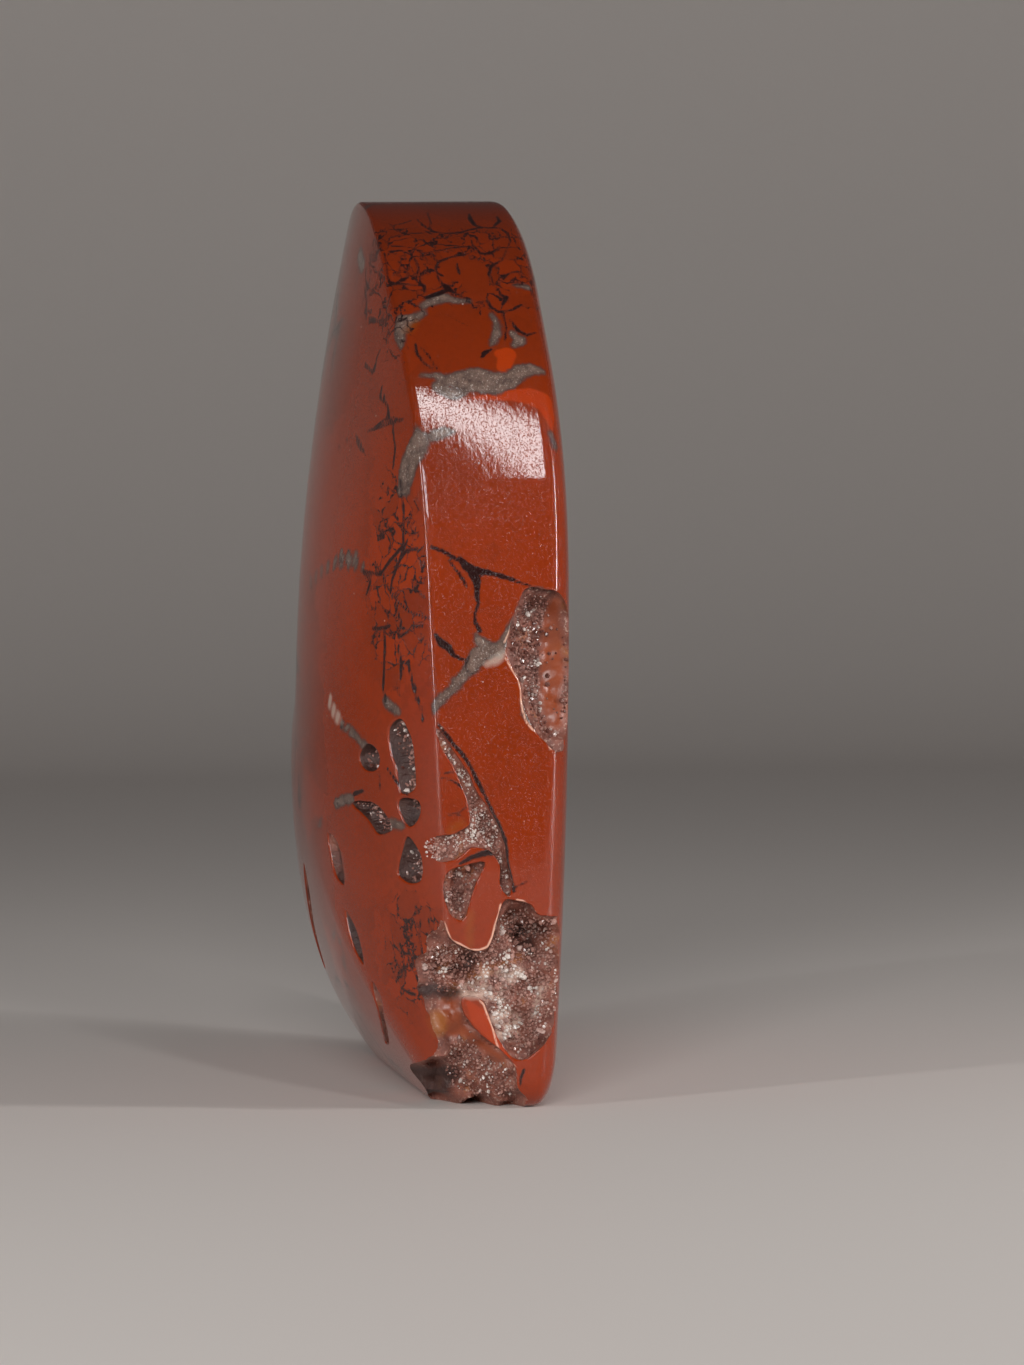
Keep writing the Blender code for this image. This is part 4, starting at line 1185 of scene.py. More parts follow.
# The two kinds of marking that are named most often below
CRACK, GREY = Kind.CRACK, Kind.CHALCEDONY
MARKS = (
    # Dark cracks and veins, from the crushed top of the rim band down to the seam
    band(CRACK, 0.08, (-6.2, 70.1), (-5.6, 69.5), (-4.3, 69.4), (-3.1, 69), (-2.3, 68.4), (-2, 68)),
    band(CRACK, 0.09, (-2.9, 71.9), (-2.6, 71.3, 0.12), (-1.8, 70.7, 0.14), (-0.9, 70.6), (0.2, 70.6),
         (1.2, 70.9, 0.14), (2.4, 71.1), (3.7, 71), (4.2, 70.6, 0.14), (4.3, 69.9)),
    band(CRACK, 0.07, (1.6, 72.4), (1.5, 71.9, 0.22), (1.7, 71.3, 0.18), (2.3, 71.1)),
    band(CRACK, 0.07, (-1.8, 72.6), (-1.9, 71.7), (-2, 70.7)),
    band(CRACK, 0.1, (3.8, 72.1), (3.9, 71.7, 0.18), (3.3, 71.2)),
    band(CRACK, 0.06, (-5.2, 71.3), (-4.3, 71.5), (-3.4, 71.8)),
    band(CRACK, 0.06, (-5.2, 71.2), (-4.7, 70.7), (-3.5, 70.6), (-2, 70.7)),
    band(CRACK, 0.09, (-5.8, 69, 0.14), (-4.9, 69.1), (-4.1, 68.7), (-3.8, 68.1), (-3.7, 67.5), (-4.1, 66.6),
         (-3.6, 66.1, 0.18)),
    band(CRACK, 0.07, (-3.7, 69.2), (-3.2, 68.8), (-2.2, 69), (-0.6, 69.3), (0.7, 69.4), (0.9, 68.9),
         (0.1, 68.6), (-0.1, 68.8, 0.22)),
    band(CRACK, 0.14, (0.2, 68.7), (-0.9, 68.5, 0.09), (-1.9, 68.1, 0.12), (-2.3, 67.6), (-2.3, 66.9, 0.1),
         (-2, 66.2), (-1.6, 65.9, 0.29), (-1.2, 65.5, 0.18), (-0.5, 65.1, 0.11), (0.1, 64.9)),
    band(CRACK, 0.22, (-1.6, 65.7), (-2.4, 65.4, 0.25), (-3.3, 65.1), (-3.7, 65, 0.07)),
    band(CRACK, 0.07, (-0.5, 67.9), (-0.5, 67.4, 0.14), (-0.4, 67)),
    band(CRACK, 0.07, (1, 70), (1.2, 69.4, 0.09), (1.6, 68.8, 0.14), (2, 68.7, 0.16), (2.7, 68.9, 0.11),
         (3.3, 69.4)),
    band(CRACK, 0.07, (4.3, 69.8), (3.9, 69.2), (3.3, 68.2), (2.3, 67.7, 0.14), (2, 67, 0.14),
         (2.2, 66.4, 0.09), (2.4, 65.6)),
    band(CRACK, 0.11, (2.9, 66.9), (3.1, 66.8, 0.25), (3.5, 66.9, 0.07)),
    band(CRACK, 0.07, (3.5, 67), (4.3, 67.2), (5.2, 66.9), (5.8, 66.3, 0.11), (4.9, 66), (3.9, 66.1)),
    band(CRACK, 0.14, (2.6, 65.8, 0.07), (2.7, 65.2), (3.1, 65, 0.22), (2.7, 64.4)),
    band(CRACK, 0.11, (1.5, 64.8), (1.7, 64.2, 0.18), (2.3, 63.8, 0.14), (3.3, 63.9), (3.9, 64.2, 0.14),
         (4.3, 64.4, 0.07)),
    band(CRACK, 0.11, (2.6, 63.6), (2.7, 62.5, 0.07), (2.4, 61.4, 0.09)),
    band(CRACK, 0.07, (3.1, 63.1), (3.6, 62.2, 0.18), (4.3, 61.8, 0.11), (5.1, 62.1, 0.09)),
    band(CRACK, 0.07, (-6.3, 68.9), (-6.3, 67.8), (-6.4, 66.9, 0.16), (-6.3, 66.4, 0.16), (-5.8, 66.3),
         (-5.1, 66.6, 0.22), (-4.7, 66.8, 0.09), (-4.8, 67.6), (-5.2, 67.9)),
    band(CRACK, 0.09, (-6.5, 66.2), (-5.1, 66.2), (-3.9, 66.1), (-3.5, 66.1, 0.18), (-3.5, 65.5, 0.11)),
    band(CRACK, 0.14, (-5.8, 69), (-5.4, 68.8, 0.07)),
    face(CRACK, 0.08, (8.3, 65.6), (8.3, 64.9), (8.5, 64.1)),
    band(CRACK, 0.11, (-4.9, 61.2), (-4.9, 60.4, 0.13), (-4.5, 59.7), (-3.8, 59.1, 0.07)),
    band(CRACK, 0.06, (-4.6, 61), (-4, 60.3, 0.1), (-3.4, 59.1)),
    band(CRACK, 0.04, (-2.1, 63.7), (-1.1, 63), (-0.3, 62.6)),
    band(CRACK, 0.14, (0.3, 60), (0.6, 60.4, 0.22), (1.2, 60.7, 0.11)),
    band(CRACK, 0.11, (-5.2, 63.4), (-5.9, 63.1, 0.14), (-6.5, 63.1)),
    face(CRACK, 0.07, (14.3, 68.3), (13.8, 66.9, 0.09), (12.6, 66.1), (10.8, 65.6)),
    face(CRACK, 0.07, (11.3, 63.3, 0.14), (9.5, 63.2), (8.7, 63.8)),
    face(CRACK, 0.09, (6.5, 57.6), (5.7, 56.8, 0.11), (4.9, 56), (5.1, 55.3, 0.11), (6.5, 54.7, 0.14),
         (7.6, 54.4, 0.07)),
    face(CRACK, 0.07, (14.7, 53.2), (13, 53.9, 0.14), (10.5, 54.2, 0.11), (9, 53.5), (7.8, 52.4, 0.11)),
    face(CRACK, 0.07, (8.2, 61), (8.6, 60.3, 0.11), (8.6, 59.2, 0.14), (10.6, 59.6)),
    face(CRACK, 0.14, (5.4, 55.2), (3.9, 55.3, 0.11), (2.5, 55.1, 0.07)),
    band(CRACK, 0.25, (-2.5, 43.9), (-2.1, 43.4, 0.35), (-1.5, 43, 0.4), (-0.9, 42.9, 0.3),
         (-0.2, 42.8, 0.22), (0.5, 42.6, 0.2), (1.4, 42.3, 0.18), (2.2, 42, 0.12), (3.1, 41.7, 0.08)),
    band(CRACK, 0.15, (-1.5, 42.8, 0.45), (-1.2, 42.2, 0.35), (-1.2, 41.5, 0.25), (-1.2, 40.9, 0.22),
         (-1.1, 40.4), (-1.4, 39.6, 0.12), (-1.4, 38.9), (-1, 38.2, 0.2)),
    band(CRACK, 0.1, (-3.4, 43.8), (-2.8, 43, 0.12), (-2.3, 42.3, 0.15), (-2, 41.7)),
    band(CRACK, 0.15, (-4.6, 38), (-4.1, 37.3, 0.35), (-3.6, 37, 0.3), (-3.1, 36.3, 0.18), (-2.5, 36),
         (-2.2, 35.9, 0.1)),
    band(CRACK, 0.08, (-1.9, 36.2), (-2.2, 35.6), (-2.1, 35), (-1.6, 34.8, 0.06)),
    face(CRACK, 0.1, (1.4, 35.9, 0.2), (1.3, 35), (1.2, 33.9), (1, 32.9), (0.6, 32.2)),
    band(CRACK, 0.14, (-4.5, 30.9), (-3.8, 30, 0.18), (-3.2, 29.2), (-2.5, 28.4, 0.2),
         (-1.9, 27.4), (-1.4, 26.3, 0.18), (-0.8, 25.1, 0.12), (-0.2, 23.8, 0.12), (0.3, 22.7, 0.17),
         (0.7, 21.6, 0.19), (0.9, 20.6, 0.12), (0.9, 19.5, 0.2), (1.2, 18.5), (1.4, 17.5)),
    band(CRACK, 0.07, (-4.3, 26.6), (-3.6, 26.5), (-3.1, 26.2, 0.1), (-2.6, 25.8)),
    band(CRACK, 0.06, (-4, 27), (-3.3, 27.1)),
    band(CRACK, 0.07, (-3.7, 23.7), (-3, 23.8), (-2.3, 24.3)),
    band(CRACK, 0.06, (-3.1, 23.7), (-2.6, 23.5)),
    band(CRACK, 0.2, (-2.9, 19.8, 0.15), (-1.9, 20.3), (-0.8, 20.6, 0.25), (0, 20.7, 0.3), (0.7, 20.4)),
    band(CRACK, 0.06, (1.4, 17.8), (2, 18), (2.4, 18.2)),
    band(CRACK, 0.12, (-5.6, 23.8, 0.1), (-5.2, 22.8), (-4.9, 21.8)),
    band(CRACK, 0.12, (2, 3.2), (1.7, 2.5, 0.1), (1.7, 2, 0.08)),
    # Grey chalcedony that healed the wider gaps
    band(GREY, 0.5, (-3.7, 64.4, 0.4), (-2.9, 64.8), (-1.9, 65), (-1, 64.8, 0.35), (0.1, 64.7, 0.15)),
    band(GREY, 0.35, (-3.9, 63.8), (-4.6, 63.4, 0.45), (-5.6, 63.1, 0.7), (-6.2, 62.3, 0.8),
         (-6.3, 61.3, 0.55)),
    band(GREY, 0.2, (1.7, 63.6), (2, 62.7, 0.4), (1.8, 61.8, 0.35), (1.2, 61)),
    band(GREY, 0.25, (3.1, 62), (3.6, 61.4, 0.5), (3.1, 61, 0.35)),
    band(GREY, 0.2, (4.1, 66), (4.9, 65.9, 0.3), (5.8, 65.9)),
    band(GREY, 0.2, (-4.7, 58.6), (-3.7, 58.6, 0.25), (-2.8, 58.2, 0.5), (-1.5, 58.1, 1), (-0.2, 58.2, 1.15),
         (1, 57.9, 1.1), (2.2, 58.1, 0.8), (3.3, 58.8, 0.7), (4.1, 59, 0.6), (5.2, 58.8, 0.3)),
    band(GREY, 0.5, (-3.5, 57.7), (-2.5, 57), (-1.7, 57.2)),
    face(GREY, 0.9, (0.7, 54.3, 0.35), (0.4, 53.4), (0.8, 52.3, 1.1), (1.3, 51, 1.1), (1.5, 49.8)),
    band(GREY, 0.55, (-4.2, 53.7), (-3.2, 54, 0.4), (-2.6, 54.1, 0.15)),
    band(GREY, 0.3, (5.2, 53.8), (5.7, 52.9, 0.5)),
    face(GREY, 0.6, (17.1, 69.2), (15.4, 68.1)),
    band(GREY, 0.4, (-1.3, 37.9, 0.2), (-1.1, 37.4), (-0.5, 36.9, 0.55), (0.3, 36.7, 0.6), (0.9, 37.3),
         (1.5, 38.2, 0.45), (2.2, 39.3), (2.7, 40.5), (3.2, 41.1, 0.3)),
    band(GREY, 0.6, (-0.2, 36.6), (-1.2, 36.3, 0.75), (-1.7, 35.4), (-2.5, 34.6, 0.45), (-3.3, 33.7, 0.4),
         (-4.1, 32.9, 0.4), (-4.8, 32.1, 0.35), (-5.2, 31.6, 0.3)),
    band(GREY, 0.3, (3.4, 41.2), (4.1, 41.2, 0.25), (4.8, 41, 0.2)),
    band(GREY, 0.25, (2.3, 32.4, 0.12), (2.5, 31.5, 0.15), (3.3, 30.6, 0.2), (4.2, 29.9), (4.7, 29.5),
         (5.2, 28.6, 0.3), (5.5, 28.1, 0.2)),
    # Brighter and plain fragments, milky spots and ochre stains
    band(Kind.OCHRE, 0.3, (-5.4, 62.3), (-4.9, 62.8, 0.35), (-4.5, 63.1, 0.15)),
    band(Kind.BRIGHT, 0.4, (-2.4, 8.7, 0.2), (-1.6, 7.6, 0.7), (-0.4, 6.0, 0.5), (0.8, 4.4, 0.2)),
    band(Kind.BRIGHT, 0.45, (1.8, 60.3), (2.4, 60.2, 0.75), (2, 59.2, 0.6), (1.8, 58.5, 0.15)),
    band(Kind.BRIGHT, 0.3, (-0.8, 56.7, 0.1), (0.7, 56.8), (2.3, 56.9, 0.5), (3.8, 56.8, 0.75),
         (5, 56.3, 0.8), (5.4, 55.2, 0.6), (5.5, 54.3)),
    band(Kind.PLAIN, 2.9, (-2.1, 61.6), (-1, 61.4, 2.7)),
    band(Kind.PLAIN, 1.3, (-0.6, 67.4), (0.7, 67.2), (0.8, 65.9, 1)),
    band(Kind.PLAIN, 1.2, (-1.4, 72.3), (0.2, 72.2), (-3.6, 72.4)),
    band(Kind.MILKY, 0.2, (-0.5, 35.6), (0.1, 35.8, 0.35), (0.5, 36.1, 0.35), (0.9, 36.4)),
    band(Kind.OCHRE, 0.3, (-3.4, 22.7), (-2.7, 23, 0.25), (-3.7, 22.4, 0.2)),
    band(Kind.OCHRE, 0.25, (-2.1, 15.8, 0.15), (-2.2, 14.6), (-2.2, 13.4)),
    band(Kind.OCHRE, 0.15, (-2.8, 17.8), (-2.6, 17.1, 0.25)),
    band(Kind.MILKY, 0.25, (-5.5, 21.1), (-4.9, 21, 0.3), (-4.5, 20.7, 0.2)),
    # Stains and pale patches of the broken ground, and painted shade in its deepest recesses
    ground(Kind.ORANGE, 0.3, (-3.8, 8.3, 0.7), (-3.8, 7.4, 1), (-3.5, 6.7, 0.8), (-2.4, 6.2), (-1.2, 5.3),
         (0.2, 4.1)),
    ground(Kind.OCHRE, 0.25, (-3.9, 11.6), (-4.1, 11.3, 0.2)),
    ground(Kind.OCHRE, 0.25, (-1.7, 10.5), (2.3, 12)),
    ground(Kind.DARK, 0.5, (-5.6, 9.6), (-4.7, 9.7), (-3.8, 9.4), (-3.2, 9.6, 0.3)),
    ground(Kind.DARK, 0.5, (-2.3, 12.2), (-1.7, 11.8), (-2.3, 11.2, 0.4)),
    ground(Kind.DARK, 0.6, (1.7, 14.1), (2.4, 13.6, 0.9), (3, 12.9)),
    ground(Kind.MILKY, 0.5, (-2.5, 9.5), (-1, 9.5), (-0.3, 9.2, 0.4), (0.6, 9.1)),
    ground(Kind.MILKY, 0.4, (0.6, 10.9), (1.4, 10.3, 0.5), (2.1, 10.9)),
    ground(Kind.MILKY, 0.4, (-0.1, 7.3), (0.8, 7.7, 0.35), (1.8, 7, 0.45), (0.3, 6.1), (1.5, 5.8)),
    ground(Kind.MILKY, 0.3, (-0.7, 10.9), (-1, 9.6)),
    ground(Kind.MILKY, 0.3, (4, 9.6), (3.2, 7.4, 0.2)),
    ground(Kind.ORANGE, 0.6, (5.4, 40.4, 0.4), (5.2, 38.7), (5.3, 37, 0.8), (5.3, 34.8, 1), (5, 32.6, 0.8),
         (5.3, 30.9)),
    ground(Kind.OCHRE, 0.6, (-4.7, 7.4), (-4.6, 6.6)),
    ground(Kind.DARK, 1.4, (-6.5, 1.5), (-4.5, 1.8), (-3.4, 2.6, 0.8)),
    # Seams and fills of the front face
    face(GREY, 0.5, (20.9, 42.3), (18.7, 42.3), (15.3, 43.2), (11.1, 43.9), (8.5, 43.7), (6.6, 43.5)),
    face(GREY, 0.5, (10.6, 44.4), (7.2, 44.2)),
    face(GREY, 0.4, (3.9, 32.7), (3.3, 32.2), (2.7, 31.9)),
    face(GREY, 0.4, (10.3, 30.7), (8.6, 30.2), (7.4, 29.4), (6.6, 28.9)),
    face(Kind.MILKY, 0.6, (12.5, 32.6), (11.6, 31.7), (10.7, 31.1)),
    # Painted shade on the floors of the face's pits
    face(Kind.DARK, 2.1, (6.4, 28.6), (6.3, 27.6)),
    face(Kind.DARK, 1.7, (2.7, 30.4), (2.4, 27.8), (2.4, 25.7)),
    face(Kind.DARK, 2.2, (2.3, 24.4), (2.3, 23.3)),
    face(Kind.DARK, 1.8, (2.2, 20.6), (2.7, 18.9)),
    face(Kind.DARK, 1.5, (8.4, 24.1), (6.2, 23.6), (5.2, 22.7)),
    face(Kind.DARK, 1.1, (11.4, 14.4), (10.8, 12.2)),
    face(Kind.DARK, 1.0, (13.2, 20.2), (12.6, 18.4)),
    face(GREY, 0.45, (12.1, 24.2), (10.5, 24.5), (9.3, 24.7)),
    face(GREY, 0.4, (5.0, 22.4), (4.0, 23.0), (3.1, 22.7)),
    face(CRACK, 0.15, (0.9, 38.7), (0.0, 38.7)),
    face(CRACK, 0.16, (2.0, 50.3), (1.4, 47.9), (1.3, 45.1), (2.7, 44.0), (4.0, 42.8), (5.6, 43.0),
         (10.6, 44.0), (14.4, 42.8), (19.7, 41.6)),
    face(CRACK, 0.16, (5.0, 38.5), (4.0, 38.5), (3.0, 38.7)),
    face(CRACK, 0.16, (3.7, 38.3), (3.7, 36.9), (3.9, 35.2), (4.1, 33.8), (3.9, 32.7)),
    face(CRACK, 0.16, (2.3, 37.1), (2.1, 35.9), (2.2, 34.5)),
    face(CRACK, 0.16, (2.2, 35.9), (1.5, 35.7), (1.0, 33.8), (0.6, 32.3), (0.5, 31.2)),
    face(CRACK, 0.16, (1.6, 44.1), (1.0, 44.7), (-0.1, 44.8)),
    band(CRACK, 0.16, (-4.8, 44.9), (-3.9, 44.6), (-2.5, 43.7)),
    face(CRACK, 0.14, (0.9, 45.5), (1.4, 44.7), (1.9, 43.6), (2.6, 42.4), (2.8, 41.4)),
    face(CRACK, 0.14, (6.4, 43.0), (5.2, 42.3), (5.8, 41.2)),
    face(CRACK, 0.14, (4.7, 43.8), (3.6, 42.8), (3.4, 41.8)),
    face(CRACK, 0.14, (2.8, 41.4), (1.8, 40.4), (1.0, 39.8), (-0.5, 39.3)),
    face(CRACK, 0.14, (2.4, 40.4), (1.9, 39.0), (2.2, 37.8), (1.1, 38.3)),
    face(CRACK, 0.15, (4.2, 27.3), (3.5, 26.5), (2.9, 25.8), (2.3, 25.3)),
    face(CRACK, 0.14, (5.2, 27.0), (5.2, 25.6)),
    face(CRACK, 0.18, (8.8, 25.1), (7.4, 25.4)),
    face(CRACK, 0.14, (18.3, 33.5), (16.1, 33.4), (13.5, 33.3)),
    face(CRACK, 0.14, (26.8, 40.3), (23.9, 38.7)),
    face(CRACK, 0.13, (3.3, 15.2), (3.4, 14.6)),
    face(CRACK, 0.13, (1.8, 15.3), (2.1, 14.3), (2.0, 13.2), (1.9, 12.4)),
    face(CRACK, 0.13, (4.3, 13.2), (3.9, 12.4), (3.2, 12.5), (3.7, 11.4), (4.8, 10.8), (5.2, 10.1)),
    face(CRACK, 0.13, (1.1, 15.3), (0.9, 14.4), (0.8, 13.5)),
    face(CRACK, 0.13, (4.6, 9.6), (3.7, 9.3), (3.0, 9.2)),
    face(CRACK, 0.14, (13.6, 66.3), (12.6, 65.0), (12.0, 63.7)),
    face(CRACK, 0.14, (11.5, 63.7), (9.2, 63.2), (7.6, 63.4)),
    face(CRACK, 0.14, (10.7, 59.9), (8.9, 59.1), (8.6, 60.0)),
    face(CRACK, 0.14, (6.7, 57.9), (6.7, 57.0), (5.2, 56.3), (4.6, 55.4)),
    face(CRACK, 0.14, (7.9, 54.4), (5.9, 54.6), (4.1, 54.9), (2.6, 55.1)),
    face(CRACK, 0.14, (13.6, 50.7), (14.6, 52.7), (13.4, 53.6), (10.4, 53.9), (8.5, 52.7)),
    face(CRACK, 0.14, (3.8, 54.4), (3.1, 52.9), (3.1, 51.3)),
    face(CRACK, 0.14, (11.3, 67.4), (9.8, 66.7)),
    # Painted highlights: pale lines round the side hollow, the tongue and the tip, and down the back crease
    # below the side hollow, where the rounded edges catch the light
    band(Kind.PAINTED_GLINT, 0.08, (-4.7, 19.1), (-4.8, 18.1), (-4.7, 17.0), (-4.4, 15.8), (-4.0, 14.4), (-3.7, 13.7),
         (-3.0, 13.4), (-2.2, 12.9), (-1.4, 12.9), (-0.8, 13.1), (-0.4, 13.9), (-0.2, 14.7), (0.2, 15.8),
         (0.3, 16.5)),
    band(Kind.PAINTED_GLINT, 0.06, (1.6, 16.8), (2.1, 16.7), (2.6, 16.3), (3.1, 15.8)),
    band(Kind.PAINTED_GLINT, 0.06, (4.6, 28.6), (5.1, 27.9), (5.4, 26.5), (5.4, 23), (5.3, 19), (5, 17), (4.4, 16)),
    band(Kind.PAINTED_GLINT, 0.08, (2.2, 32.7), (2.3, 31.9), (2.6, 30.9), (3.1, 30.3), (3.8, 29.9), (4.3, 29.3),
         (4.6, 28.6)),
    band(Kind.PAINTED_GLINT, 0.06, (1.0, 36.0), (1.5, 35.1), (2.0, 34.3), (2.2, 33.4), (2.2, 32.5)),
    band(Kind.PAINTED_GLINT, 0.06, (0.9, 37.2), (1.4, 38.2), (1.9, 39.3), (2.5, 40.2), (2.8, 40.9), (3.9, 41.0),
         (4.6, 41.0)),
    band(Kind.PAINTED_GLINT, 0.07, (-3.3, 8.2), (-2.8, 7.4), (-2.2, 6.8), (-1.4, 5.8), (-0.5, 4.9)),
    band(Kind.PAINTED_GLINT, 0.07, (-1.5, 8.8), (-1.2, 8.6), (-0.9, 7.7), (-0.5, 6.7), (-0.3, 5.8), (0.0, 4.8),
         (0.7, 3.9), (1.3, 3.5)),
)


@dataclass(frozen=True)
class PolishedJasper:
    """Red brecciated jasper, tumbled and buffed to a glass-like polish.

    The eye sees brick-red fragments of even, fine-grained stone, healed by thin dark seams and by
    smoky grey chalcedony, under one clear gloss.
    """

    fragment: float = 8.0
    crumb: float = 1.7
    red: str = "842A04"
    bright_red: str = "A03204"
    deep_red: str = "5A1C04"
    seam: str = "0C0709"
    smoke: str = "2A1614"
    grey: str = "80685C"
    dark_grey: str = "40302C"
    white: str = "C4B6A8"
    ochre: str = "8C4C14"
    # colour of the painted highlight on the rounded edges
    painted_glint: str = "E8B49C"
    roughness: float = 0.03
    duller: float = 0.14  # roughness of the seams
    ior: float = 1.54
    bump: float = 0.00003  # metres
    # The name of each noise, its waves per millimetre, its detail and its roughness
    noises: tuple[tuple[str, float, float, float], ...] = (
        ("slow", 0.22, 3.0, 0.5), ("rough", 1.1, 4.0, 0.65), ("grain", 2.4, 5.0, 0.6),
        ("patch", 0.09, 2.0, 0.5), ("cloud", 1.3, 6.0, 0.65), ("flecks", 6.5, 3.0, 0.7),
        ("pitted", 8.0, 2.0, 0.6),
    )

    def build(self) -> bpy.types.Material:
        """Makes the material. Its patterns read Object coordinates in millimetres.

        Returns:
            The material.
        """
        material, shader, mm = new_material("red brecciated jasper, buffed", self.ior)
        tree = material.node_tree
        reads = {kind: add(tree, "Attribute", attribute_name=kind.value).outputs["Fac"] for kind in Kind}
        waves = {}
        for name, scale, detail, roughness in self.noises:
            settings = {"Vector": mm, "Scale": scale, "Detail": detail, "Roughness": roughness}
            waves[name] = add(tree, "TexNoise", settings)
        plain = add(tree, "MapRange", {"Value": reads[Kind.PLAIN], 1: -0.2, 2: 0.3, 3: 1.0, 4: 0.0})
        crush = add(tree, "Attribute", attribute_name="crush").outputs["Fac"]
        crush = add(tree, "Math", {0: crush, 1: plain}, operation="MULTIPLY")

        # Fragments keep straight and slightly bent sides: their cells are bent by a slow noise
        cells, edges, bent = {}, {}, mm
        for name, size, source, amount in (
                ("fragment", self.fragment, "slow", 5.0), ("crumb", self.crumb, "rough", 1.3)):
            bend = waves[source].outputs["Color"]
            bend = add(tree, "VectorMath", {0: bend, 1: (0.5, 0.5, 0.5)}, operation="SUBTRACT")
            bend = add(tree, "VectorMath", {0: bend, "Scale": amount}, operation="SCALE")
            bent = add(tree, "VectorMath", {0: bent, 1: bend}, operation="ADD")
            settings = {"Vector": bent, "Scale": 1.0 / size}
            cells[name] = add(tree, "SeparateColor", {0: add(tree, "TexVoronoi", settings).outputs["Color"]})
            edge = add(tree, "TexVoronoi", settings, feature="DISTANCE_TO_EDGE").outputs["Distance"]
            edges[name] = add(tree, "Math", {0: edge, 1: size}, operation="MULTIPLY")
        across, _, height = add(tree, "SeparateXYZ", {0: mm}).outputs
        # The near side carries the listed markings; the pattern takes over from here backwards
        unseen = add(tree, "MapRange", {"Value": across, 1: 24.0, 2: 16.0})
        away = add(tree, "MapRange", {"Value": unseen, 3: -0.6, 4: 0.0})

        # The tone of each fragment and crumb, and the fine mottling of the jasper itself
        tone = add(tree, "Mix", {0: unseen, 2: waves["patch"], 3: cells["fragment"]})
        tone = add(tree, "Mix", {0: crush, 2: tone, 3: cells["crumb"]})
        shade = add(tree, "Math", {0: waves["grain"], 1: 0.8, 2: tone}, operation="MULTIPLY_ADD")
        lighter = add(tree, "MapRange", {"Value": shade, 1: 0.8, 2: 1.5, 4: 0.45})
        darker = add(tree, "MapRange", {"Value": shade, 1: 0.9, 2: 0.3, 4: 0.5})
        # Painted shade: the jasper is drawn deeper red towards the top, where the rim turns up and away from
        # the light
        upper = add(tree, "MapRange", {"Value": height, 1: 46.0, 2: 72.0, 4: 0.7})
        bright = add(tree, "MapRange", {"Value": reads[Kind.BRIGHT], 1: -0.08, 2: 0.1})
        colour = srgb(self.red)
        for share, hexes in (
                (lighter, self.bright_red), (darker, self.deep_red), (upper, self.deep_red),
                (bright, self.bright_red)):
            colour = add(tree, "Mix", {0: share, 6: colour, 7: srgb(hexes)}, data_type="RGBA")

        # Chalcedony: listed markings on the near side, and along some fragment edges elsewhere; smoky at its
        # edges
        ragged = add(tree, "Math", {0: waves["rough"], 1: 0.7, 2: -0.36}, operation="MULTIPLY_ADD")
        width = add(tree, "MapRange", {"Value": waves["patch"], 1: 0.5, 2: 0.72, 3: -0.25, 4: 0.75})
        vein = add(tree, "Math", {0: width, 1: edges["fragment"]}, operation="SUBTRACT")
        vein = add(tree, "Math", {0: vein, 1: away}, operation="ADD")
        filled = add(tree, "Math", {0: vein, 1: reads[Kind.CHALCEDONY]}, operation="MAXIMUM")
        filled = add(tree, "Math", {0: filled, 1: ragged}, operation="ADD")
        fill = add(tree, "MapRange", {"Value": filled, 1: -0.2, 2: 0.1})
        middle = add(tree, "MapRange", {"Value": filled, 1: -0.05, 2: 0.3})
        pale = add(tree, "MapRange", {"Value": waves["cloud"], 1: 0.28, 2: 0.74})
        pale = add(tree, "Math", {0: pale, 1: middle}, operation="MULTIPLY")
        fleck = add(tree, "MapRange", {"Value": waves["flecks"], 1: 0.58, 2: 0.66})
        speckled = add(tree, "Math", {0: fleck, 1: pale}, operation="MULTIPLY")
        stone = srgb(self.dark_grey)
        for share, hexes in ((pale, self.grey), (speckled, self.white)):
            stone = add(tree, "Mix", {0: share, 6: stone, 7: srgb(hexes)}, data_type="RGBA")
        colour = add(tree, "Mix", {0: fill, 6: colour, 7: stone}, data_type="RGBA")
        for kind, hexes, soft, most in (
                (Kind.MILKY, self.white, 0.2, 0.5), (Kind.OCHRE, self.ochre, 0.3, 0.4)):
            spot = add(tree, "Math", {0: ragged, 1: 0.6, 2: reads[kind]}, operation="MULTIPLY_ADD")
            spot = add(tree, "MapRange", {"Value": spot, 1: -soft, 2: soft, 4: most})
            colour = add(tree, "Mix", {0: spot, 6: colour, 7: srgb(hexes)}, data_type="RGBA")

        # Dark seams: listed markings, round the crumbs where the stone is crushed, and along some fragments
        unsteady = add(tree, "Math", {0: waves["flecks"], 1: 0.22, 2: -0.11}, operation="MULTIPLY_ADD")
        hand = add(tree, "Math", {0: ragged, 1: 0.3, 2: reads[Kind.CRACK]}, operation="MULTIPLY_ADD")
        hand = add(tree, "Math", {0: hand, 1: unsteady}, operation="ADD")
        width = add(tree, "MapRange", {"Value": waves["cloud"], 1: 0.34, 2: 0.66, 3: -0.05, 4: 0.16})
        crumb = add(tree, "Math", {0: width, 1: edges["crumb"]}, operation="SUBTRACT")
        whole = add(tree, "MapRange", {"Value": crush, 1: 0.1, 2: 0.7, 3: -0.4, 4: 0.0})
        crumb = add(tree, "Math", {0: crumb, 1: whole}, operation="ADD")
        width = add(tree, "MapRange", {"Value": waves["patch"], 1: 0.42, 2: 0.6, 3: -0.1, 4: 0.09})
        long = add(tree, "Math", {0: width, 1: edges["fragment"]}, operation="SUBTRACT")
        long = add(tree, "Math", {0: long, 1: away}, operation="ADD")
        seams = add(tree, "Math", {0: crumb, 1: long}, operation="MAXIMUM")
        seams = add(tree, "Math", {0: seams, 1: hand}, operation="MAXIMUM")
        core = add(tree, "MapRange", {"Value": seams, 1: 0.02, 2: 0.16})
        seam = add(tree, "MapRange", {"Value": seams, 1: -0.07, 2: 0.05, 4: 0.94})
        dark = add(tree, "Mix", {0: core, 6: srgb(self.smoke), 7: srgb(self.seam)}, data_type="RGBA")
        colour = add(tree, "Mix", {0: seam, 6: colour, 7: dark}, data_type="RGBA")

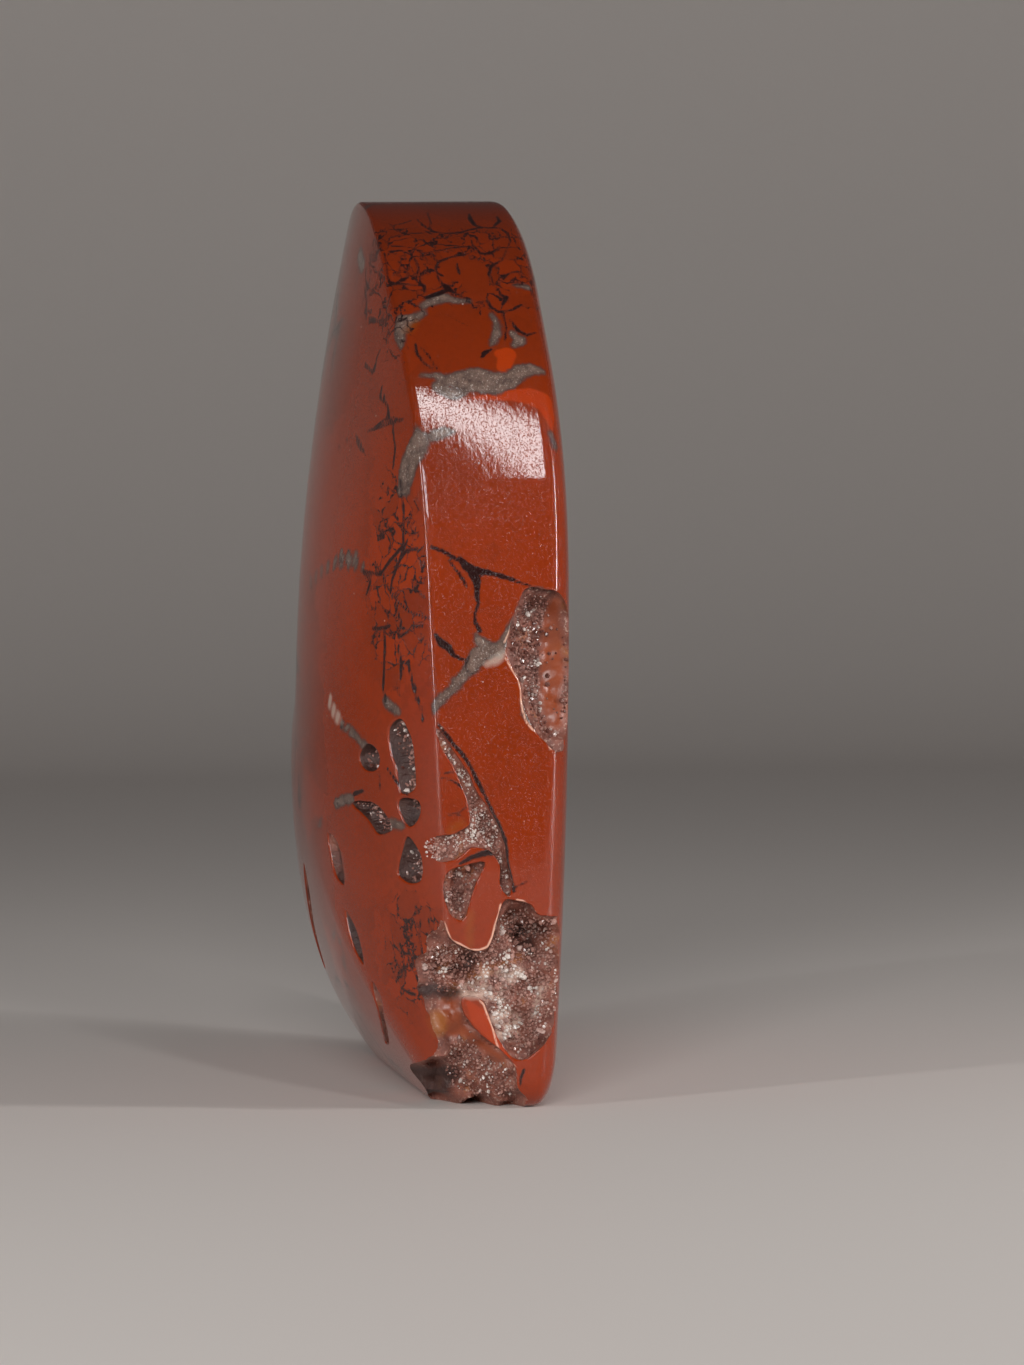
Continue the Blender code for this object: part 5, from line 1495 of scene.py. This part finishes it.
        # A few white specks, drawn 0.1 mm wide so that they show
        specks = add(tree, "TexVoronoi", {"Vector": mm, "Scale": 0.55})
        chosen = add(tree, "SeparateColor", {0: specks.outputs["Color"]}).outputs[1]
        chosen = add(tree, "Math", {0: chosen, 1: 0.72}, operation="GREATER_THAN")
        speck = add(tree, "MapRange", {"Value": specks.outputs["Distance"], 1: 0.05, 2: 0.03, 4: 0.6})
        speck = add(tree, "Math", {0: speck, 1: chosen}, operation="MULTIPLY")
        # Painted highlight: pale lines along the rounded lips of the hollows, where they would catch the
        # light
        painted_glint = add(tree, "MapRange", {"Value": reads[Kind.PAINTED_GLINT], 1: -0.05, 2: 0.04, 4: 0.8})
        for share, hexes in ((speck, self.white), (painted_glint, self.painted_glint)):
            colour = add(tree, "Mix", {0: share, 6: colour, 7: srgb(hexes)}, data_type="RGBA")
        link(tree, colour, shader.inputs["Base Color"])

        # The buffing leaves fine pits, and the softer fill and seams stay a little duller
        dull = add(tree, "Math", {0: fill, 1: 0.25, 2: seam}, operation="MULTIPLY_ADD")
        gloss = add(tree, "MapRange", {"Value": dull, 3: self.roughness, 4: self.duller})
        link(tree, gloss, shader.inputs["Roughness"])
        pits = add(tree, "MapRange", {"Value": waves["pitted"], 1: 0.56, 2: 0.68, 4: 0.7})
        more = add(tree, "Math", {0: fill, 1: fleck}, operation="MULTIPLY")
        relief = add(tree, "Math", {0: pits, 1: more}, operation="ADD")
        relief = add(tree, "Math", {0: seam, 1: 0.5, 2: relief}, operation="MULTIPLY_ADD")
        relief = add(tree, "Math", {0: waves["rough"], 1: 0.35, 2: relief}, operation="MULTIPLY_ADD")
        bump = add(tree, "Bump", {"Height": relief, "Strength": 0.5, "Distance": self.bump}, invert=True)
        link(tree, bump, shader.inputs["Normal"])
        return material


@dataclass(frozen=True)
class BrokenJasper:
    """Jasper where it broke or where a vug was never filled: matt, granular ground stained by iron.

    The eye sees pinkish-brown sugary stone with smoother orange places, ochre stains and pale specks.
    """

    brown: str = "5E3228"
    pinkish: str = "8A5040"
    orange: str = "8E3E18"
    ochre: str = "9C5A22"
    # colour of the painted shade in the ground's deepest recesses
    dark: str = "2A1410"
    pale: str = "C8A898"
    ior: float = 1.54
    bump: float = 0.00014  # metres

    def build(self) -> bpy.types.Material:
        """Makes the material. Its patterns read Object coordinates in millimetres.

        Returns:
            The material.
        """
        material, shader, mm = new_material("broken jasper ground, iron stained", self.ior)
        tree = material.node_tree
        patch = add(tree, "TexNoise", {"Vector": mm, "Scale": 0.42, "Detail": 4.0, "Roughness": 0.6})
        speck = add(tree, "TexNoise", {"Vector": mm, "Scale": 3.6, "Detail": 4.0, "Roughness": 0.7})
        uneven = add(tree, "Math", {0: speck, 1: 0.6, 2: -0.3}, operation="MULTIPLY_ADD")
        shares = {}
        for kind in (Kind.ORANGE, Kind.OCHRE, Kind.DARK, Kind.MILKY):
            read = add(tree, "Attribute", attribute_name=kind.value).outputs["Fac"]
            reach = add(tree, "Math", {0: read, 1: uneven}, operation="ADD")
            shares[kind] = add(tree, "MapRange", {"Value": reach, 1: -0.3, 2: 0.25, 4: 0.85})
        warm = add(tree, "MapRange", {"Value": patch, 1: 0.36, 2: 0.58})
        stained = add(tree, "MapRange", {"Value": patch, 1: 0.6, 2: 0.7, 4: 0.7})
        light = add(tree, "MapRange", {"Value": speck, 1: 0.56, 2: 0.66, 4: 0.75})
        smooth = add(tree, "Math", {0: shares[Kind.ORANGE], 1: -1.1, 2: 1.0}, operation="MULTIPLY_ADD")
        light = add(tree, "Math", {0: light, 1: smooth}, operation="MULTIPLY")
        # the last mix paints shade into the deepest recesses and pits
        colour = srgb(self.brown)
        for share, hexes in (
                (warm, self.pinkish), (stained, self.ochre), (shares[Kind.ORANGE], self.orange),
                (shares[Kind.OCHRE], self.ochre), (light, self.pale), (shares[Kind.MILKY], self.pale),
                (shares[Kind.DARK], self.dark)):
            colour = add(tree, "Mix", {0: share, 6: colour, 7: srgb(hexes)}, data_type="RGBA")
        link(tree, colour, shader.inputs["Base Color"])
        matt = add(tree, "MapRange", {"Value": shares[Kind.ORANGE], 3: 0.55, 4: 0.3})
        link(tree, matt, shader.inputs["Roughness"])
        height = add(tree, "Math", {0: speck, 1: smooth}, operation="MULTIPLY")
        bump = add(tree, "Bump", {"Height": height, "Strength": 0.9, "Distance": self.bump})
        link(tree, bump, shader.inputs["Normal"])
        return material


@dataclass(frozen=True)
class DruseQuartz:
    """Quartz grown in a vug: clear to milky points, stained brown and pink by iron near their feet.

    The eye sees a sugary crust that sparkles, each small facet with its own glint.
    """

    brown: str = "5E342C"
    pink: str = "B08478"
    milky: str = "DCD0C8"
    roughness: float = 0.2
    ior: float = 1.544

    def build(self) -> bpy.types.Material:
        """Makes the material, which reads each crystal's own milk and tint attributes.

        Returns:
            The material.
        """
        material, shader, mm = new_material("quartz druse, iron stained", self.ior)
        tree = material.node_tree
        shader.inputs["Roughness"].default_value = self.roughness
        milk, tint = (
            add(tree, "Attribute", attribute_name=name).outputs["Fac"] for name in ("milk", "tint"))
        veil = add(tree, "TexNoise", {"Vector": mm, "Scale": 5.0, "Detail": 3.0})
        stain = add(tree, "Math", {0: veil, 1: 0.6, 2: tint}, operation="MULTIPLY_ADD")
        stained = add(tree, "MapRange", {"Value": stain, 1: 0.35, 2: 1.25})
        clouded = add(tree, "MapRange", {"Value": milk, 1: 0.45, 2: 0.9})
        colour = srgb(self.brown)
        for share, hexes in ((stained, self.pink), (clouded, self.milky)):
            colour = add(tree, "Mix", {0: share, 6: colour, 7: srgb(hexes)}, data_type="RGBA")
        link(tree, colour, shader.inputs["Base Color"])
        return material


@dataclass
class Studio:
    """A plain pale floor, soft lights, and the camera at the photograph's viewing angle."""

    form: HeartForm
    yaw: float = math.radians(9.94)
    lean: float = math.radians(1.09)
    pitch: float = math.radians(1.354)
    eye: tuple[float, float, float] = (-371.5, -63.3, 44.2)
    focal_pixels: float = 4750.0
    frame_height: float = 1365.0
    sensor: float = 36.0
    floor_colour: str = "E2DAD4"
    floor_radius: float = 0.55  # metres, like the next two
    floor_drop: float = 0.00002
    bowl: float = 0.25
    bowl_steps: int = 8
    near_share: float = 0.4  # how far the floor reaches out in front of the stone

    def camera(self) -> None:
        """Adds the camera, turned as the photograph's was."""
        sin_yaw, cos_yaw = math.sin(self.yaw), math.cos(self.yaw)
        sin_lean, cos_lean = math.sin(self.lean), math.cos(self.lean)
        right = np.array((-sin_yaw, cos_lean * cos_yaw, -sin_lean * cos_yaw))
        ahead = np.array((cos_yaw, cos_lean * sin_yaw, -sin_lean * sin_yaw))
        level = np.array((0.0, sin_lean, cos_lean))
        up = level * math.cos(self.pitch) + ahead * math.sin(self.pitch)
        forward = ahead * math.cos(self.pitch) - level * math.sin(self.pitch)
        turned = Matrix([(-axis[0], axis[1], axis[2]) for axis in (right, up, -forward)]).transposed()
        data = bpy.data.cameras.new("camera")
        data.sensor_fit = "VERTICAL"
        data.sensor_height = self.sensor
        data.lens = self.focal_pixels / self.frame_height * self.sensor
        data.clip_start = 0.01
        camera = bpy.data.objects.new("camera", data)
        eye = Vector(self.form.place(np.array(self.eye)))
        camera.matrix_world = Matrix.Translation(eye) @ turned.to_4x4()
        bpy.context.scene.collection.objects.link(camera)
        bpy.context.scene.camera = camera

    def soft_light(
            self, name: str, place: tuple[float, float, float], size: tuple[float, float],
            watts: float, lean: float = 0.0,
            target: tuple[float, float, float] = (0.02, 0.0, 0.035)) -> None:
        """Adds one rectangular soft light that faces the stone.

        Args:
            name: what it is.
            place: its middle, in metres.
            size: its width and height, in metres.
            watts: its power.
            lean: degrees that it is turned about its own axis.
            target: where it points.
        """
        data = bpy.data.lights.new(name, "AREA")
        data.shape = "RECTANGLE"
        data.size, data.size_y = size
        data.energy = watts
        back = (Vector(place) - Vector(target)).normalized()
        across = Vector((0.0, 0.0, 1.0)).cross(back).normalized()
        facing = Matrix((across, back.cross(across), back)).transposed()
        turned = facing @ Matrix.Rotation(math.radians(lean), 3, "Z")
        light = bpy.data.objects.new(name, data)
        light.matrix_world = Matrix.Translation(Vector(place)) @ turned.to_4x4()
        bpy.context.scene.collection.objects.link(light)

    def floor(self) -> None:
        """Models the pale floor, which curves up behind the stone only."""
        deselect()
        bpy.ops.mesh.primitive_circle_add(
            vertices=96, radius=self.floor_radius, fill_type="NOTHING", location=(0.0, 0.0, -self.floor_drop))
        floor = bpy.context.object
        floor.name = "pale_floor"
        bpy.ops.object.mode_set(mode="EDIT")
        bpy.ops.mesh.select_mode(type="EDGE")
        bpy.ops.mesh.select_all(action="SELECT")
        for step in range(1, self.bowl_steps + 1):
            angle = math.radians(90.0 * step / self.bowl_steps)
            radius = self.floor_radius + self.bowl * math.sin(angle)
            height = self.bowl * (1.0 - math.cos(angle))
            bpy.ops.mesh.extrude_region_move()
            bm = bmesh.from_edit_mesh(floor.data)
            for vert in bm.verts:
                if vert.select:
                    flat = Vector((vert.co.x, vert.co.y, 0.0)).normalized() * radius
                    vert.co = Vector((flat.x, flat.y, height))
        bpy.ops.mesh.select_all(action="DESELECT")
        bm = bmesh.from_edit_mesh(floor.data)
        for edge in bm.edges:
            edge.select = edge.is_boundary and all(vert.co.z < 0.001 for vert in edge.verts)
        bpy.ops.mesh.edge_face_add()
        # Nothing pale lies or stands behind the camera, where the polished band would mirror it
        bpy.ops.mesh.select_mode(type="FACE")
        bpy.ops.mesh.select_all(action="DESELECT")
        bm = bmesh.from_edit_mesh(floor.data)
        for polygon in bm.faces:
            middle = polygon.calc_center_median()
            polygon.select = middle.z > 0.0001 and middle.x > 0.05
        bpy.ops.mesh.delete(type="FACE")
        bm = bmesh.from_edit_mesh(floor.data)
        for vert in bm.verts:
            vert.co.x *= self.near_share if vert.co.x > 0.0 else 1.0
        bpy.ops.mesh.select_all(action="SELECT")
        bpy.ops.mesh.normals_make_consistent(inside=True)
        bpy.ops.object.mode_set(mode="OBJECT")
        bpy.ops.object.transform_apply(location=True)
        floor.data.shade_smooth()
        material = bpy.data.materials.new("pale painted board, matt")
        material.use_nodes = True
        shader = material.node_tree.nodes["Principled BSDF"]
        shader.inputs["Base Color"].default_value = srgb(self.floor_colour)
        shader.inputs["Roughness"].default_value = 0.6
        floor.data.materials.append(material)

    def build(self) -> None:
        """Sets the camera, the floor, the lights and the plain look of the picture."""
        self.camera()
        self.floor()
        world = bpy.data.worlds.new("studio air")
        world.use_nodes = True
        sky = world.node_tree.nodes["Background"]
        sky.inputs["Color"].default_value = (0.86, 0.83, 0.84, 1.0)
        sky.inputs["Strength"].default_value = 0.06
        bpy.context.scene.world = world
        self.soft_light("window strip", (0.48, 0.1105, 0.5325), (0.024, 0.575), 0.62, lean=-1.5,
                        target=(0.03, 0.1105, 0.5325))
        self.soft_light("left low strip", (0.16, -0.27, 0.08), (0.012, 0.16), 0.3)
        self.soft_light("right low strip", (0.16, 0.25, 0.08), (0.012, 0.16), 0.5)
        self.soft_light("front soft box", (0.643, -0.172, 0.251), (0.3, 0.2), 2.3)
        scene = bpy.context.scene
        scene.view_settings.view_transform = "Standard"
        scene.view_settings.look = "None"


def dress(
        piece: bpy.types.Object, materials: tuple[bpy.types.Material, ...],
        node: str | None) -> None:
    """Gives a piece its materials, and lets it ride on the part.

    Args:
        piece: the finished piece.
        materials: its materials, in the order of its faces' numbers.
        node: the node that it stands for, if any.
    """
    piece.data.materials.clear()
    for material in materials:
        piece.data.materials.append(material)
    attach(piece, "root")
    if node:
        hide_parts(node)
    log.info("%s: %d faces", piece.name, len(piece.data.polygons))


def main() -> None:
    """Builds the stone, its druse and the studio, in that order."""
    logging.basicConfig(level=logging.INFO, format="%(message)s")
    form = HeartForm()
    jasper, broken, quartz = PolishedJasper().build(), BrokenJasper().build(), DruseQuartz().build()
    maker = Stone(form)
    stone = maker.blank()
    stone.data.materials.append(jasper)
    stone.data.materials.append(broken)
    for group in (FACE_PITS, (SIDE_HOLLOW, CORNER_HOLLOW), (SEAM_HOLLOW,), (TIP_HOLLOW,)):
        maker.cut(stone, group)
    Markings(form, MARKS).map_on(stone)
    activate(stone)
    bpy.ops.object.shade_smooth_by_angle(angle=math.radians(35.0))
    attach(stone, "root")
    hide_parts("heart")
    log.info("heart_stone: %d faces", len(stone.data.polygons))
    for name, growths, node, seed in DRUSES:
        dress(Druse(form, name, growths, seed).build(), (quartz,), node)
    Studio(form).build()


if __name__ == "__main__":
    main()
